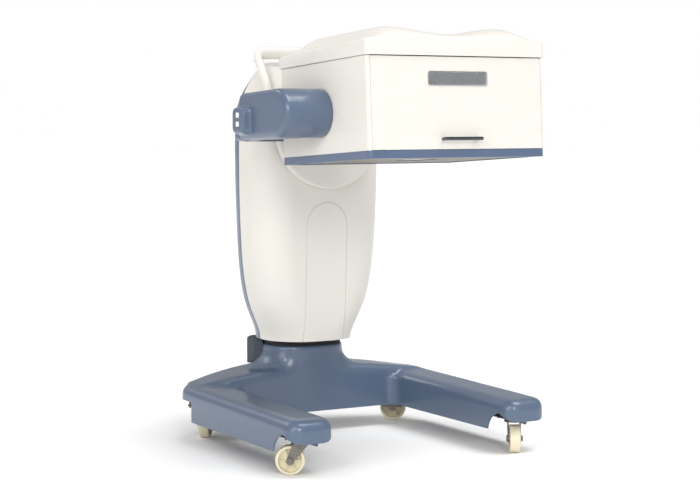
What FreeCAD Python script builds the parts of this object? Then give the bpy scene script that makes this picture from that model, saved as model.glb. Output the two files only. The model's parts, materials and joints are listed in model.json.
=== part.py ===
import FreeCAD, Part
import math
import os

# Mobile column-stand eye-examination instrument, in millimetres.
# Working frame: +X is the instrument's left-right, -Y is its front, +Z is up,
# with the column's axis standing on the floor at x = 0, y = 0. Every piece is
# moved by ORIGIN_SHIFT when it is written, to the centre of the whole outline.

Vec = FreeCAD.Vector

# ---- clearances -------------------------------------------------------------
RUN = 0.05            # radial clearance of a running fit
GAP = 0.5             # air between two moving bodies
SEAM = 0.8            # open joint line between two covers

# ---- base -------------------------------------------------------------------
BASE_HALF = 392.0     # outer face of a leg from the middle
LEG_WIDTH = 130.0
NOSE_Y = -656.0
LEG_REAR_Y = 25.0
CROSS_FRONT_Y = -84.0
BOW_Y = 115.0         # rear of the cross member on the middle line
SKIRT_Z = 60.0
LEG_EDGE_R = 24.0
NOSE_R = 38.0
COVER_WALL = 4.0
NECK_HALF = 115.0
NECK_TOP = 250.0
NECK_BACK_Y = 95.0
NECK_R = 78.0
FLARE_WIDE = 75.0     # how far the neck spreads sideways at its foot
FLARE_TALL = 46.0

# ---- castors ----------------------------------------------------------------
WHEEL_R = 37.5
WHEEL_WIDTH = 28.0
TRAIL = 28.0
CASTOR_X = BASE_HALF - LEG_WIDTH / 2
CASTOR_FRONT_Y = -588.0
CASTOR_REAR_Y = -22.0
FRONT_ARCH_Y = CASTOR_FRONT_Y + WHEEL_R - 6.5   # the arches follow the wheels
REAR_ARCH_Y = CASTOR_REAR_Y - WHEEL_R - 19.5
RACE_ROOM = 7.0       # air between a wheel and its swivel bearing
PLATE_THICK = 3.0
PLATE_HALF_X = 30.0
PLATE_HALF_Y = 44.0
RACE_R = 25.0
RACE_H = 7.0
PLATE_TOP = 2 * WHEEL_R + RACE_ROOM + RACE_H + PLATE_THICK
FORK_THICK = 2.5
AXLE_R = 5.0
HUB_R = 11.0
BOLT_R = 4.0
BOLT_X = 22.0
BOLT_Y = 33.0

# ---- frame, mast and lift ---------------------------------------------------
FRAME_HALF = 35.0     # half width of a leg tube
FRAME_H = 40.0
FRAME_WALL = 3.0
FRAME_TOP = PLATE_TOP + FRAME_H
FRONT_ARCH_TOP = PLATE_TOP + 17.0
REAR_ARCH_TOP = PLATE_TOP + 24.0
LEG_TOP_FRONT = FRAME_TOP + 15.0
LEG_TOP_REAR = FRAME_TOP + 26.0
CROSS_END_TOP = LEG_TOP_REAR + 10.0  # cross member where it meets the legs
CROSS_TOP = LEG_TOP_REAR + 32.0      # and beside the neck's foot
CROSS_TUBE_W = 41.0
FRAME_MITRE = 14.0    # corner cut off each leg tube at the rear, at its floor
FRAME_MITRE_TOP = 24.0
POST_Y = (-500.0, -300.0, -120.0)
FOOT_HALF_X = 95.0
FOOT_HALF_Y = 62.0
FOOT_H = 12.0
MAST_X = 45.0         # half size of the fixed mast tube
MAST_Y = 35.0
MAST_WALL = 4.0
MAST_TOP = 640.0
SLEEVE_WALL = 8.0     # moving sleeve round the mast
SLEEVE_GAP = 0.5
SLEEVE_BOTTOM = 276.0
SLEEVE_TOP = 900.0
ROD_R = 12.0
ROD_TOP = 600.0
LIFT_TUBE_R = 20.0
LIFT_TUBE_BOTTOM = 200.0
MOTOR_BOTTOM = 652.0
MOTOR_H = 86.0
LIFT_TRAVEL = 200.0

# ---- column covers ----------------------------------------------------------
SHELL_WALL = 4.0
SHELL_BOTTOM = 266.0
SPLIT_Y = 8.0
# height, half width, front y, back y, corner radius
COLUMN = [
    (266.0, 133.0, -125.0, 120.0, 110.0),
    (300.0, 140.0, -130.0, 118.0, 108.0),
    (356.0, 163.0, -134.0, 112.0, 100.0),
    (437.0, 183.0, -138.0, 106.0, 95.0),
    (558.0, 194.0, -142.0, 102.0, 92.0),
    (700.0, 199.0, -143.0, 101.0, 90.0),
    (860.0, 199.0, -143.0, 101.0, 90.0),
    (940.0, 191.0, -143.0, 92.0, 88.0),
    (991.0, 171.0, -143.0, 66.0, 78.0),
    (1028.0, 152.0, -143.0, 38.0, 66.0),
    (1060.0, 130.0, -143.0, 10.0, 56.0),
]
CROWN_REAR = 1050.0   # sloping top, at y = 20
CROWN_SLOPE = 22.0 / 163.0
PANEL_HALF = 64.0
PANEL_ARCH_Z = 594.0
PANEL_LIP = 7.0
RIB_THICK = 4.0
RIB_HEIGHTS = (420.0, 620.0, 780.0)
CONTROL_LOW = 470.0   # lift controller
CONTROL_HIGH = 600.0
CAP_X = 150.0
CAP_Y = 77.0
CAP_Z = 410.0
CAP_R = 8.0
CAP_TURN = 43.1       # degrees, its axis from +X towards +Y
HANDLE_X = 178.0
HANDLE_Y = -60.0
HANDLE_Z = 1074.0
HANDLE_R = 12.5
HANDLE_OVAL = 36.0
HANDLE_FOOT = (166.0, -122.0, 940.0)
HANDLE_KNEE = (178.0, -119.0, 980.0)

# ---- roll joint -------------------------------------------------------------
DRUM_Z = 862.0
DRUM_R = 166.0
DRUM_BACK = -144.5
DRUM_THICK = 19.0
DRUM_WALL = 3.0
ROLL_R = 25.0
ROLL_REAR = -60.0
BEARING_OUT = 40.0
HOUSING_R = 58.0

# ---- yoke, pod and tilt drive -----------------------------------------------
PIVOT_Y = -570.0
PIVOT_Z = 908.0
HEAD_HALF = 260.0
ARM_IN = -HEAD_HALF - 15.0  # arm face beside the head
ARM_OUT = ARM_IN - 28.0
ARM_HALF_Z = 34.0
BEAM_FRONT = -240.0
BEAM_REAR = -176.0
BEAM_LOW = 832.0
BEAM_HIGH = 896.0
BEAM_RIGHT = 60.0
POD_OUT = ARM_OUT - 90.0
POD_WALL = 3.5
POD_REAR = -368.0
POD_LOW = 838.0       # at its rear
POD_HIGH = 958.0
POD_EDGE_R = 14.0
POD_STEP = 1.0        # the hub's ring stands proud of the body
HUB_START = 40.0      # from the outer face to the hub's ring
HUB_OUT_R = 62.0
HUB_FACE = -HEAD_HALF - 1.5
TILT_SHAFT_R = 12.0
TILT_BEARING_R = 21.0
GEAR_R = 28.0
GEAR_X = ARM_OUT - 28.0
GEAR_HALF = 7.0
WORM_R = 10.0
WORM_MESH = 0.5
WORM_Z = PIVOT_Z - GEAR_R - WORM_R - WORM_MESH
WORM_HALF = 22.0
WORM_PITCH = 6.0
WORM_BLOCK_HALF = 8.0 # half height of the worm's front bearing block
BOSS_OUT = POD_OUT - 20.0
BOSS_Y = -407.0
BOSS_Z = 889.0
BOSS_HALF_Y = 31.0
BOSS_HALF_Z = 31.0
BUTTON_HALF = 6.5
BUTTON_Z = (880.0, 903.0)
BUTTON_TRAVEL = 1.5
BUTTON_PROUD = 2.0

# ---- head -------------------------------------------------------------------
HEAD_LEAN = 3.7       # degrees, front up, at rest
HEAD_FRONT = -800.0
HEAD_REAR = -357.0
HOOD_LOW = 805.0
HOOD_HIGH = 1035.0
HOOD_WALL = 3.5
HOOD_R = 12.0
RIM_LOW = 785.0
RIM_WALL = 16.0
DOOR_THICK = 4.0
DOOR_SIDE = 8.0       # frame left beside the door
PLATE_UNDER = 4.0
COVER_SEAT = 1036.0
EAR_FRONT = 1075.0
EAR_REAR = 1066.0
WAVE_PEAK = 1111.0
WAVE_VALLEY = 1092.0
WAVE_PEAK_X = HEAD_HALF - 95.0
WAVE_END = 1072.0
PULL_HALF = 48.0
PULL_LENGTH = 57.5
PULL_Z = 831.0
PULL_R = 4.5
PULL_STAND = 24.0
PULL_POST_R = 3.8
PULL_SCREW_R = 2.0
PLATE_NAME_HALF = 87.5
PLATE_NAME_Z = 980.0
PLATE_NAME_H = 36.0
HINGE_R = 2.0
KNUCKLE_R = 3.9
HINGE_Z = 1030.5
HINGE_Y = -796.0
DOOR_TOP = 1033.5
DOOR_LOW = 806.0
WINDOW_R = 55.0
WINDOW_Y = -600.0
LENS_R = 32.0
BARREL_R = 38.0
BENCH_Z = 880.0
BENCH_THICK = 8.0

# The outline's middle, which becomes x = 0, y = 0.
BUTTON_FACE = BOSS_OUT - BUTTON_PROUD
REAR_COVER_Y = 135.0
INLET_PROUD = 3.0
INLET_Z = 226.0
PULL_Y = HEAD_FRONT - PULL_STAND + PULL_R
LEAN_RAD = math.radians(HEAD_LEAN)
PULL_FACE = (PIVOT_Y + (PULL_Y - PIVOT_Y) * math.cos(LEAN_RAD)
             + (PULL_Z - PIVOT_Z) * math.sin(LEAN_RAD) - PULL_R)
REAR_FACE = REAR_COVER_Y + INLET_PROUD
ORIGIN_SHIFT = Vec(-(BUTTON_FACE + BASE_HALF) / 2, -(PULL_FACE + REAR_FACE) / 2, 0.0)


# ---- helpers ----------------------------------------------------------------
def box(low, high):
    return Part.makeBox(high[0] - low[0], high[1] - low[1], high[2] - low[2], Vec(*low))


def rod(start, end, radius):
    base = Vec(*start)
    run = Vec(*end) - base
    return Part.makeCylinder(radius, run.Length, base, run)


def pipe(start, end, outer, inner):
    return rod(start, end, outer).cut(rod(start, end, inner))


def fuse(shapes):
    return shapes[0].multiFuse(shapes[1:]).removeSplitter()


def place(plane, level, a, b):
    return {"XY": Vec(a, b, level), "XZ": Vec(a, level, b), "YZ": Vec(level, a, b)}[plane]


def outline(plane, level, points):
    """Closed wire. A point is (a, b), or (a, b, via_a, via_b) if an arc ends there."""
    edges = []
    before = points[-1]
    for point in points:
        start = place(plane, level, before[0], before[1])
        end = place(plane, level, point[0], point[1])
        if len(point) == 4:
            edges.append(Part.Arc(start, place(plane, level, point[2], point[3]), end).toShape())
        else:
            edges.append(Part.LineSegment(start, end).toShape())
        before = point
    return Part.Wire(edges)


def prism(plane, low, high, points):
    run = place(plane, high, 0, 0) - place(plane, low, 0, 0)
    return Part.Face(outline(plane, low, points)).extrude(run)


def rounded(a0, a1, b0, b1, corner):
    """Outline points of a rectangle with four round corners."""
    k = corner * (1 - math.sqrt(0.5))
    return [
        (a0 + corner, b0, a0 + k, b0 + k),
        (a1 - corner, b0),
        (a1, b0 + corner, a1 - k, b0 + k),
        (a1, b1 - corner),
        (a1 - corner, b1, a1 - k, b1 - k),
        (a0 + corner, b1),
        (a0, b1 - corner, a0 + k, b1 - k),
        (a0, b0 + corner),
    ]


def loft(wires):
    return Part.makeLoft(wires, True, False)


def mirror_x(shape):
    return shape.mirror(Vec(0, 0, 0), Vec(1, 0, 0))


def lean(shape):
    """Turn a piece of the level head to its resting lean about the tilt pivot."""
    turned = shape.copy()
    turned.rotate(Vec(0, PIVOT_Y, PIVOT_Z), Vec(1, 0, 0), -HEAD_LEAN)
    return turned


def save(name, shapes):
    solids = [solid for shape in shapes for solid in shape.Solids]
    moved = [solid.translated(ORIGIN_SHIFT) for solid in solids]
    whole = moved[0] if len(moved) == 1 else Part.makeCompound(moved)
    whole.exportStep("parts/" + name + ".step")
    print(name, len(solids), "solid(s)", round(sum(s.Volume for s in solids) / 1000), "cm3",
          "" if all(s.isValid() for s in solids) else "INVALID")


# ---- base cover -------------------------------------------------------------
def leg_body(inset):
    """One leg's outside, lying along -Y, its top rising to the rear."""
    low_x = -BASE_HALF + inset
    high_x = low_x + LEG_WIDTH - 2 * inset
    edge = LEG_EDGE_R - inset
    length = LEG_REAR_Y - NOSE_Y
    top = LEG_TOP_FRONT - inset
    k = edge * (1 - math.sqrt(0.5))
    section = [
        (high_x, 0.0),
        (high_x, top - edge),
        (high_x - edge, top, high_x - k, top - k),
        (low_x + edge, top),
        (low_x, top - edge, low_x + k, top - k),
        (low_x, 0.0),
    ]
    rise = LEG_TOP_REAR - LEG_TOP_FRONT
    bar = Part.Face(outline("XZ", NOSE_Y, section)).extrude(Vec(0, length, rise))
    plan = [
        (low_x + NOSE_R - inset, NOSE_Y + inset, low_x + NOSE_R * 0.293,
         NOSE_Y + inset + NOSE_R * 0.293),
        (high_x - NOSE_R + inset, NOSE_Y + inset),
        (high_x, NOSE_Y + NOSE_R, high_x - NOSE_R * 0.293, NOSE_Y + inset + NOSE_R * 0.293),
        (high_x, LEG_REAR_Y - inset),
        (low_x + 60.0, LEG_REAR_Y - inset),
        (low_x, LEG_REAR_Y - 60.0, low_x + 17.6, LEG_REAR_Y - inset - 17.6),
        (low_x, NOSE_Y + NOSE_R),
    ]
    walls = prism("XY", 0.0, 400.0, plan)
    nose = 40.0 - inset
    side = prism("YZ", low_x - 1, high_x + 1, [
        (NOSE_Y + inset, 0.0), (LEG_REAR_Y, 0.0), (LEG_REAR_Y, 400.0),
        (NOSE_Y + 60.0, 400.0), (NOSE_Y + 60.0, top + 0.4), (NOSE_Y + inset + nose, top),
        (NOSE_Y + inset, top - nose, NOSE_Y + inset + nose * 0.293, top - nose * 0.293),
    ])
    return bar.common(walls).common(side)


def cross_body(inset):
    """The cross member's outside, highest beside the neck, bowed at the rear."""
    half = BASE_HALF - 40.0
    bow = prism("XY", 0.0, 400.0, [
        (-half, CROSS_FRONT_Y + inset), (half, CROSS_FRONT_Y + inset),
        (half, LEG_REAR_Y - inset), (-half, LEG_REAR_Y - inset, 0.0, BOW_Y - inset),
    ])
    hill = prism("XZ", -200.0, 200.0, [
        (-half, 0.0), (half, 0.0), (half, CROSS_END_TOP - 6.0 - inset),
        (-half, CROSS_END_TOP - 6.0 - inset, 0.0, CROSS_TOP + 4.0 - inset),
    ])
    body = bow.common(hill)
    edges = [edge for edge in body.Edges
             if edge.BoundBox.ZMin > 100.0 and edge.BoundBox.XLength > 2 * half - 5]
    return body.makeFillet(20.0 - inset, edges)


def flare_body(inset):
    """Neck that spreads in a quarter ellipse onto the cross member."""
    wires = []
    for step in range(6):
        angle = math.radians(75.0 - 15.0 * step)
        spread = FLARE_WIDE * (1 - math.cos(angle))
        height = CROSS_TOP - 4.0 + FLARE_TALL * (1 - math.sin(angle))
        half = NECK_HALF + spread - inset
        back = NECK_BACK_Y + spread * 0.12 - inset
        wires.append(outline("XY", height, rounded(
            -half, half, CROSS_FRONT_Y + inset, back, NECK_R - inset)))
    wires.append(outline("XY", NECK_TOP, rounded(
        -NECK_HALF + inset, NECK_HALF - inset, CROSS_FRONT_Y + inset, NECK_BACK_Y - inset,
        NECK_R - inset)))
    foot = wires[0].BoundBox
    plug = prism("XY", 100.0, foot.ZMin, rounded(
        foot.XMin, foot.XMax, foot.YMin, foot.YMax, NECK_R - inset))
    return fuse([loft(wires), plug])


def base_body(inset):
    leg = leg_body(inset)
    corner = 35.0
    inner = BASE_HALF - LEG_WIDTH + inset
    front = CROSS_FRONT_Y + inset
    web = prism("XY", 0.0, LEG_TOP_FRONT - 8.0 - inset, [
        (-inner - 1, front + 1), (-inner - 1, front - corner), (-inner, front - corner),
        (-inner + corner, front, -inner + corner * 0.293, front - corner * 0.293),
        (-inner + corner, front + 1),
    ])
    return fuse([leg, mirror_x(leg), cross_body(inset), flare_body(inset), web, mirror_x(web)])


def arches():
    """Everything cut away under the cover: its open underside and castor arches."""
    wide = BASE_HALF + 50.0
    front = prism("YZ", -wide, wide, [
        (FRONT_ARCH_Y, -10.0), (FRONT_ARCH_Y, SKIRT_Z),
        (FRONT_ARCH_Y - 55.0, FRONT_ARCH_TOP, FRONT_ARCH_Y - 15.0, FRONT_ARCH_TOP - 17.0),
        (NOSE_Y, FRONT_ARCH_TOP - 21.0), (NOSE_Y - 40.0, FRONT_ARCH_TOP - 40.0), (NOSE_Y - 40.0, -10.0),
    ])
    rear = prism("YZ", -wide, wide, [
        (REAR_ARCH_Y, -10.0), (REAR_ARCH_Y, REAR_ARCH_TOP - 8.0),
        (REAR_ARCH_Y + 8.0, REAR_ARCH_TOP, REAR_ARCH_Y + 2.3, REAR_ARCH_TOP - 2.3),
        (200.0, REAR_ARCH_TOP), (200.0, -10.0),
    ])
    under = box((-wide, NOSE_Y - 50, -10), (wide, 200, SKIRT_Z))
    return fuse([front, rear, under])


def base_cover(outside):
    hollow = base_body(COVER_WALL)
    neck_hole = prism("XY", 200.0, NECK_TOP + 10.0, rounded(
        -MAST_X - 22.0, MAST_X + 22.0, -MAST_Y - 12.0, MAST_Y + 12.0, 10.0))
    shell = outside.cut(hollow).cut(neck_hole).cut(arches())
    posts = [rod((x, y, FRAME_TOP), (x, y, LEG_TOP_REAR + 20.0), 9.0) for x, y in post_places()]
    posts = [post.common(outside) for post in posts]
    screw_holes = [rod((x, y, FRAME_TOP - 1), (x, y, FRAME_TOP + 8), 3.0) for x, y in post_places()]
    return fuse([shell] + posts).cut(Part.makeCompound(screw_holes))


def post_places():
    return [(side * CASTOR_X, y) for side in (-1, 1) for y in POST_Y]


def base_frame():
    tubes = []
    cuts = []
    for side in (-1, 1):
        x = side * CASTOR_X
        low = (x - FRAME_HALF, CASTOR_FRONT_Y - PLATE_HALF_Y, PLATE_TOP)
        high = (x + FRAME_HALF, CASTOR_REAR_Y + PLATE_HALF_Y - 2.0, FRAME_TOP)
        tubes.append(box(low, high))
        cuts.append(box((low[0] + FRAME_WALL, low[1] - 1, low[2] + FRAME_WALL),
                        (high[0] - FRAME_WALL, high[1] + 1, high[2] - FRAME_WALL)))
    for y in (-CROSS_TUBE_W, 0.0):
        low = (-CASTOR_X, y - CROSS_TUBE_W / 2, PLATE_TOP)
        high = (CASTOR_X, y + CROSS_TUBE_W / 2 - 1.0, FRAME_TOP)
        tubes.append(box(low, high))
        cuts.append(box((low[0], low[1] + FRAME_WALL, low[2] + FRAME_WALL),
                        (high[0], high[1] - FRAME_WALL, high[2] - FRAME_WALL)))
    holes = []
    for x, y in bolt_places():
        holes.append(rod((x, y, PLATE_TOP - 1), (x, y, PLATE_TOP + FRAME_WALL + 1), BOLT_R))
    for x, y in post_places():
        holes.append(rod((x, y, FRAME_TOP - FRAME_WALL - 1), (x, y, FRAME_TOP + 1), 3.0))
    rear = CASTOR_REAR_Y + PLATE_HALF_Y - 2.0
    outer = CASTOR_X + FRAME_HALF
    for low, size in ((PLATE_TOP - 1, FRAME_MITRE), (PLATE_TOP + FRAME_WALL, FRAME_MITRE_TOP)):
        mitre = prism("XY", low, FRAME_TOP + 1, [
            (outer - size, rear + 1), (outer + 1, rear + 1), (outer + 1, rear - size)])
        cuts += [mitre, mirror_x(mitre)]
    return fuse(tubes).cut(Part.makeCompound(cuts)).cut(Part.makeCompound(holes))


def castor_places():
    return {
        "fl": (-CASTOR_X, CASTOR_FRONT_Y), "fr": (CASTOR_X, CASTOR_FRONT_Y),
        "rl": (-CASTOR_X, CASTOR_REAR_Y), "rr": (CASTOR_X, CASTOR_REAR_Y),
    }


def bolt_places():
    return [(x + a * BOLT_X, y + b * BOLT_Y) for x, y in castor_places().values()
            for a in (-1, 1) for b in (-1, 1)]


# Rest direction in which each wheel trails, as (x, y).
TRAIL_WAY = {
    "fl": (-0.863, 0.505), "fr": (-0.505, -0.863), "rl": (0.6, 0.8), "rr": (-0.8, 0.6),
}


def castor_plate(x, y):
    low_plate = PLATE_TOP - PLATE_THICK
    plate = prism("XY", low_plate, PLATE_TOP, rounded(
        x - PLATE_HALF_X, x + PLATE_HALF_X, y - PLATE_HALF_Y, y + PLATE_HALF_Y, 6.0))
    race = rod((x, y, low_plate - RACE_H), (x, y, low_plate), RACE_R)
    pin = rod((x, y, low_plate - RACE_H - 6.0), (x, y, low_plate - RACE_H), 6.0)
    body = fuse([plate, race, pin])
    for a in (-1, 1):
        for b in (-1, 1):
            spot = (x + a * BOLT_X, y + b * BOLT_Y)
            body = body.cut(rod((*spot, low_plate - 1), (*spot, PLATE_TOP + 1), BOLT_R))
    return body


def castor_bolt(x, y):
    low = PLATE_TOP - PLATE_THICK
    shank = rod((x, y, low), (x, y, PLATE_TOP + FRAME_WALL), BOLT_R)
    nut = rod((x, y, PLATE_TOP + FRAME_WALL), (x, y, PLATE_TOP + FRAME_WALL + 6.0), 6.5)
    head = rod((x, y, low - 4.0), (x, y, low), 6.5)
    return fuse([head, shank, nut])


def castor_fork(x, y, way):
    """Pressed-steel fork under the raceway, its legs leading back to the axle."""
    crown_top = PLATE_TOP - PLATE_THICK - RACE_H - GAP
    crown = pipe((0, 0, crown_top - FORK_THICK), (0, 0, crown_top), RACE_R + 1.0, 6.0 + RUN)
    half = WHEEL_WIDTH / 2 + 1.0
    legs = []
    for side in (-1, 1):
        inner = side * half
        outer = side * (half + FORK_THICK)
        legs.append(prism("XZ", min(inner, outer), max(inner, outer), [
            (-20.0, crown_top), (20.0, crown_top), (TRAIL + 11.0, WHEEL_R),
            (TRAIL - 11.0, WHEEL_R, TRAIL, WHEEL_R - 11.0),
        ]))
    body = fuse([crown] + legs)
    body = body.cut(rod((TRAIL, -40, WHEEL_R), (TRAIL, 40, WHEEL_R), AXLE_R))
    return turn_castor(body, x, y, way)


def castor_axle(x, y, way):
    far = WHEEL_WIDTH / 2 + 1.0 + FORK_THICK
    shank = rod((TRAIL, -far, WHEEL_R), (TRAIL, far, WHEEL_R), AXLE_R)
    head = rod((TRAIL, -far - 4.0, WHEEL_R), (TRAIL, -far, WHEEL_R), 8.0)
    nut = prism("XZ", far, far + 4.5, [
        (TRAIL + 8.0 * math.cos(math.radians(60 * n)), WHEEL_R + 8.0 * math.sin(math.radians(60 * n)))
        for n in range(6)])
    return turn_castor(fuse([head, shank, nut]), x, y, way)


def castor_wheel(x, y, way):
    """Nylon wheel: tread, web and hub, with six ribs on each side of the web."""
    half = WHEEL_WIDTH / 2
    rim = pipe((TRAIL, -half, WHEEL_R), (TRAIL, half, WHEEL_R), WHEEL_R, WHEEL_R - 7.0)
    rim = rim.makeFillet(3.0, [e for e in rim.Edges if e.BoundBox.XLength > 2 * WHEEL_R - 1
                               and e.BoundBox.YLength < 0.1])
    hub = pipe((TRAIL, -half, WHEEL_R), (TRAIL, half, WHEEL_R), HUB_R, AXLE_R + RUN)
    web = pipe((TRAIL, -3.0, WHEEL_R), (TRAIL, 3.0, WHEEL_R), WHEEL_R - 5.0, HUB_R - 1.0)
    ribs = []
    for n in range(6):
        rib = box((HUB_R - 1.0, -half + 4.0, -1.3), (WHEEL_R - 5.0, half - 4.0, 1.3))
        rib.rotate(Vec(0, 0, 0), Vec(0, 1, 0), 60 * n)
        ribs.append(rib.translated(Vec(TRAIL, 0, WHEEL_R)))
    return turn_castor(fuse([rim, hub, web] + ribs), x, y, way)


def turn_castor(shape, x, y, way):
    turned = shape.copy()
    turned.rotate(Vec(0, 0, 0), Vec(0, 0, 1), math.degrees(math.atan2(way[1], way[0])))
    return turned.translated(Vec(x, y, 0))


# ---- base internals ---------------------------------------------------------
def cover_screw_set():
    """Screws that come up through the frame into the cover's posts."""
    screws = []
    for x, y in post_places():
        low = FRAME_TOP - FRAME_WALL
        screws.append(fuse([rod((x, y, low - 3.0), (x, y, low), 5.5),
                            rod((x, y, low), (x, y, FRAME_TOP + 8), 3.0)]))
    return screws


def mast_tube(half_x, half_y, wall, low, high):
    outer = prism("XY", low, high, rounded(-half_x, half_x, -half_y, half_y, 6.0))
    inner = box((wall - half_x, wall - half_y, low - 1), (half_x - wall, half_y - wall, high + 1))
    return outer.cut(inner)


def mast_foot():
    top = FRAME_TOP + FOOT_H
    plate = prism("XY", FRAME_TOP, top, rounded(
        -FOOT_HALF_X, FOOT_HALF_X, -FOOT_HALF_Y, CROSS_TUBE_W / 2 + 20.0, 10.0))
    collar = mast_tube(MAST_X + 8.0, MAST_Y + 8.0, 8.0, top, top + 50.0)
    corner = mast_tube(MAST_X, MAST_Y, 1.0, top - 1, top + 60)
    return fuse([plate, collar]).cut(corner.common(box((-99, -99, top), (99, 99, top + 60))))


def mast_inner():
    return mast_tube(MAST_X, MAST_Y, MAST_WALL, FRAME_TOP + FOOT_H, MAST_TOP)


def neck_wiper():
    outer = prism("XY", NECK_TOP, NECK_TOP + 12.0, rounded(
        -NECK_HALF + 5, NECK_HALF - 5, CROSS_FRONT_Y + 5, NECK_BACK_Y - 5, NECK_R - 5))
    inner = prism("XY", NECK_TOP - 1, NECK_TOP + 13.0, rounded(
        -MAST_X - GAP, MAST_X + GAP, -MAST_Y - GAP, MAST_Y + GAP, 6.0))
    return outer.cut(inner)


def rear_neck_cover(outside):
    block = prism("XY", 186.0, NECK_TOP + 12.0, rounded(-128.0, 128.0, 20.0, REAR_COVER_Y, 44.0))
    top = [edge for edge in block.Edges if edge.BoundBox.ZMin > NECK_TOP + 11]
    block = block.makeFillet(8.0, top)
    grown = prism("XY", NECK_TOP - 1, NECK_TOP + 20.0, rounded(
        -NECK_HALF, NECK_HALF, CROSS_FRONT_Y, NECK_BACK_Y, NECK_R))
    left = block.cut(outside).cut(grown)
    return max(left.Solids, key=lambda solid: solid.Volume)


def power_inlet():
    """Appliance inlet with three flat pins, set in the rear neck cover."""
    z = INLET_Z
    flange = prism("XZ", REAR_COVER_Y, REAR_FACE, rounded(-26.0, 26.0, z - 15, z + 15, 4.0))
    well = prism("XZ", REAR_COVER_Y - 12.0, REAR_FACE + 1.0, rounded(-12.0, 12.0, z - 8, z + 8, 3.0))
    body = prism("XZ", REAR_COVER_Y - 18.0, REAR_COVER_Y, rounded(-14.0, 14.0, z - 10, z + 10, 3.0))
    pins = [box((x - 1.0, REAR_COVER_Y - 13.0, z - 2.0), (x + 1.0, REAR_COVER_Y - 2.0, z + 2.0))
            for x in (-7.0, 0.0, 7.0)]
    return fuse([fuse([flange, body]).cut(well)] + pins)


# ---- column -----------------------------------------------------------------
def column_body(inset):
    wires = []
    for z, half, front, back, corner in COLUMN:
        sink = inset if z > 900.0 else 0.0
        wires.append(outline("XY", z - sink, rounded(
            -half + inset, half - inset, front + inset, back - inset, corner - inset)))
    body = loft(wires)
    if inset:
        z, half, front, back, corner = COLUMN[0]
        body = fuse([body, prism("XY", z - 10.0, z, rounded(
            -half + inset, half - inset, front + inset, back - inset, corner - inset))])
    rear_z = CROWN_REAR - inset
    front_z = rear_z - (20.0 + 200.0) * CROWN_SLOPE
    back_z = rear_z + 180.0 * CROWN_SLOPE
    crown = prism("YZ", -300.0, 300.0, [
        (-200.0, front_z), (200.0, back_z), (200.0, 1400.0), (-200.0, 1400.0)])
    return body.cut(crown)


def arch_shape(half, low_y, high_y, bottom):
    return prism("XZ", low_y, high_y, [
        (-half, bottom), (half, bottom), (half, PANEL_ARCH_Z),
        (-half, PANEL_ARCH_Z, 0.0, PANEL_ARCH_Z + half),
    ])


def cap_rod(side, start, end, radius):
    """Short rod square to the rear cover's round corner, from its surface."""
    turn = math.radians(CAP_TURN)
    aim = Vec(side * math.cos(turn), math.sin(turn), 0)
    surface = Vec(side * CAP_X, CAP_Y, CAP_Z)
    a = surface + aim * start
    b = surface + aim * end
    return rod((a.x, a.y, a.z), (b.x, b.y, b.z), radius)


def column_covers():
    outer = column_body(0.0)
    inner = column_body(SHELL_WALL)
    backing = column_body(SHELL_WALL + 2.5)
    skin = outer.cut(inner)
    half_seam = SEAM / 2
    front = skin.common(box((-300, -300, 200), (300, SPLIT_Y - half_seam, 1200)))
    rear = skin.common(box((-300, SPLIT_Y + half_seam, 200), (300, 300, 1200)))
    hole = arch_shape(PANEL_HALF + half_seam, -200.0, -60.0, 200.0)
    panel = skin.common(arch_shape(PANEL_HALF - half_seam, -200.0, -60.0, 200.0))
    lip = inner.cut(backing).common(arch_shape(PANEL_HALF + PANEL_LIP, -200.0, -60.0, SHELL_BOTTOM))
    lip = lip.cut(arch_shape(PANEL_HALF - PANEL_LIP, -200.0, -60.0, 200.0))
    roll_hole = rod((0, -200, DRUM_Z), (0, -60, DRUM_Z), ROLL_R + 5.0)
    front = fuse([front.cut(hole).cut(roll_hole), lip])
    caps = [cap_rod(side, -SHELL_WALL - 1, 1.5, CAP_R) for side in (-1, 1)]
    rear = rear.cut(Part.makeCompound([cap_rod(side, -9.0, 9.0, CAP_R) for side in (-1, 1)]))
    return outer, inner, front, rear, panel, caps, lip


def shell_ribs(inner, lip):
    """Plates that tie both covers to the lifting sleeve."""
    x = MAST_X + SLEEVE_GAP + SLEEVE_WALL
    y = MAST_Y + SLEEVE_GAP + SLEEVE_WALL
    ribs = []
    for z in RIB_HEIGHTS:
        slab = inner.common(box((-300, -300, z), (300, 300, z + RIB_THICK)))
        slab = slab.cut(prism("XY", z - 1, z + RIB_THICK + 1, rounded(-x, x, -y, y, 6.0))).cut(lip)
        for side in (-1, 1):
            slab = slab.cut(prism("XY", z - 1, z + RIB_THICK + 1, rounded(
                side * 115.0 - 30.0, side * 115.0 + 30.0, -55.0, 50.0, 15.0)))
        ribs.append(slab)
    return ribs


def mast_outer():
    x = MAST_X + SLEEVE_GAP + SLEEVE_WALL
    y = MAST_Y + SLEEVE_GAP + SLEEVE_WALL
    cap = prism("XY", SLEEVE_TOP, SLEEVE_TOP + 6.0, rounded(-x, x, -y, y, 6.0))
    return fuse([mast_tube(x, y, SLEEVE_WALL, SLEEVE_BOTTOM, SLEEVE_TOP), cap])


def actuator_tube():
    tube = rod((0, 0, LIFT_TUBE_BOTTOM), (0, 0, MOTOR_BOTTOM), LIFT_TUBE_R)
    return tube.cut(rod((0, 0, LIFT_TUBE_BOTTOM - 1), (0, 0, ROD_TOP + 20), ROD_R + RUN))


def actuator_rod():
    return rod((0, 0, FRAME_TOP + FOOT_H), (0, 0, ROD_TOP), ROD_R)


def actuator_motor():
    x = MAST_X + SLEEVE_GAP
    block = box((-x, -28, MOTOR_BOTTOM), (x, 28, MOTOR_BOTTOM + 40))
    can = rod((0, 0, MOTOR_BOTTOM + 40), (0, 0, MOTOR_BOTTOM + MOTOR_H), 27.0)
    return fuse([block, can])


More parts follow.
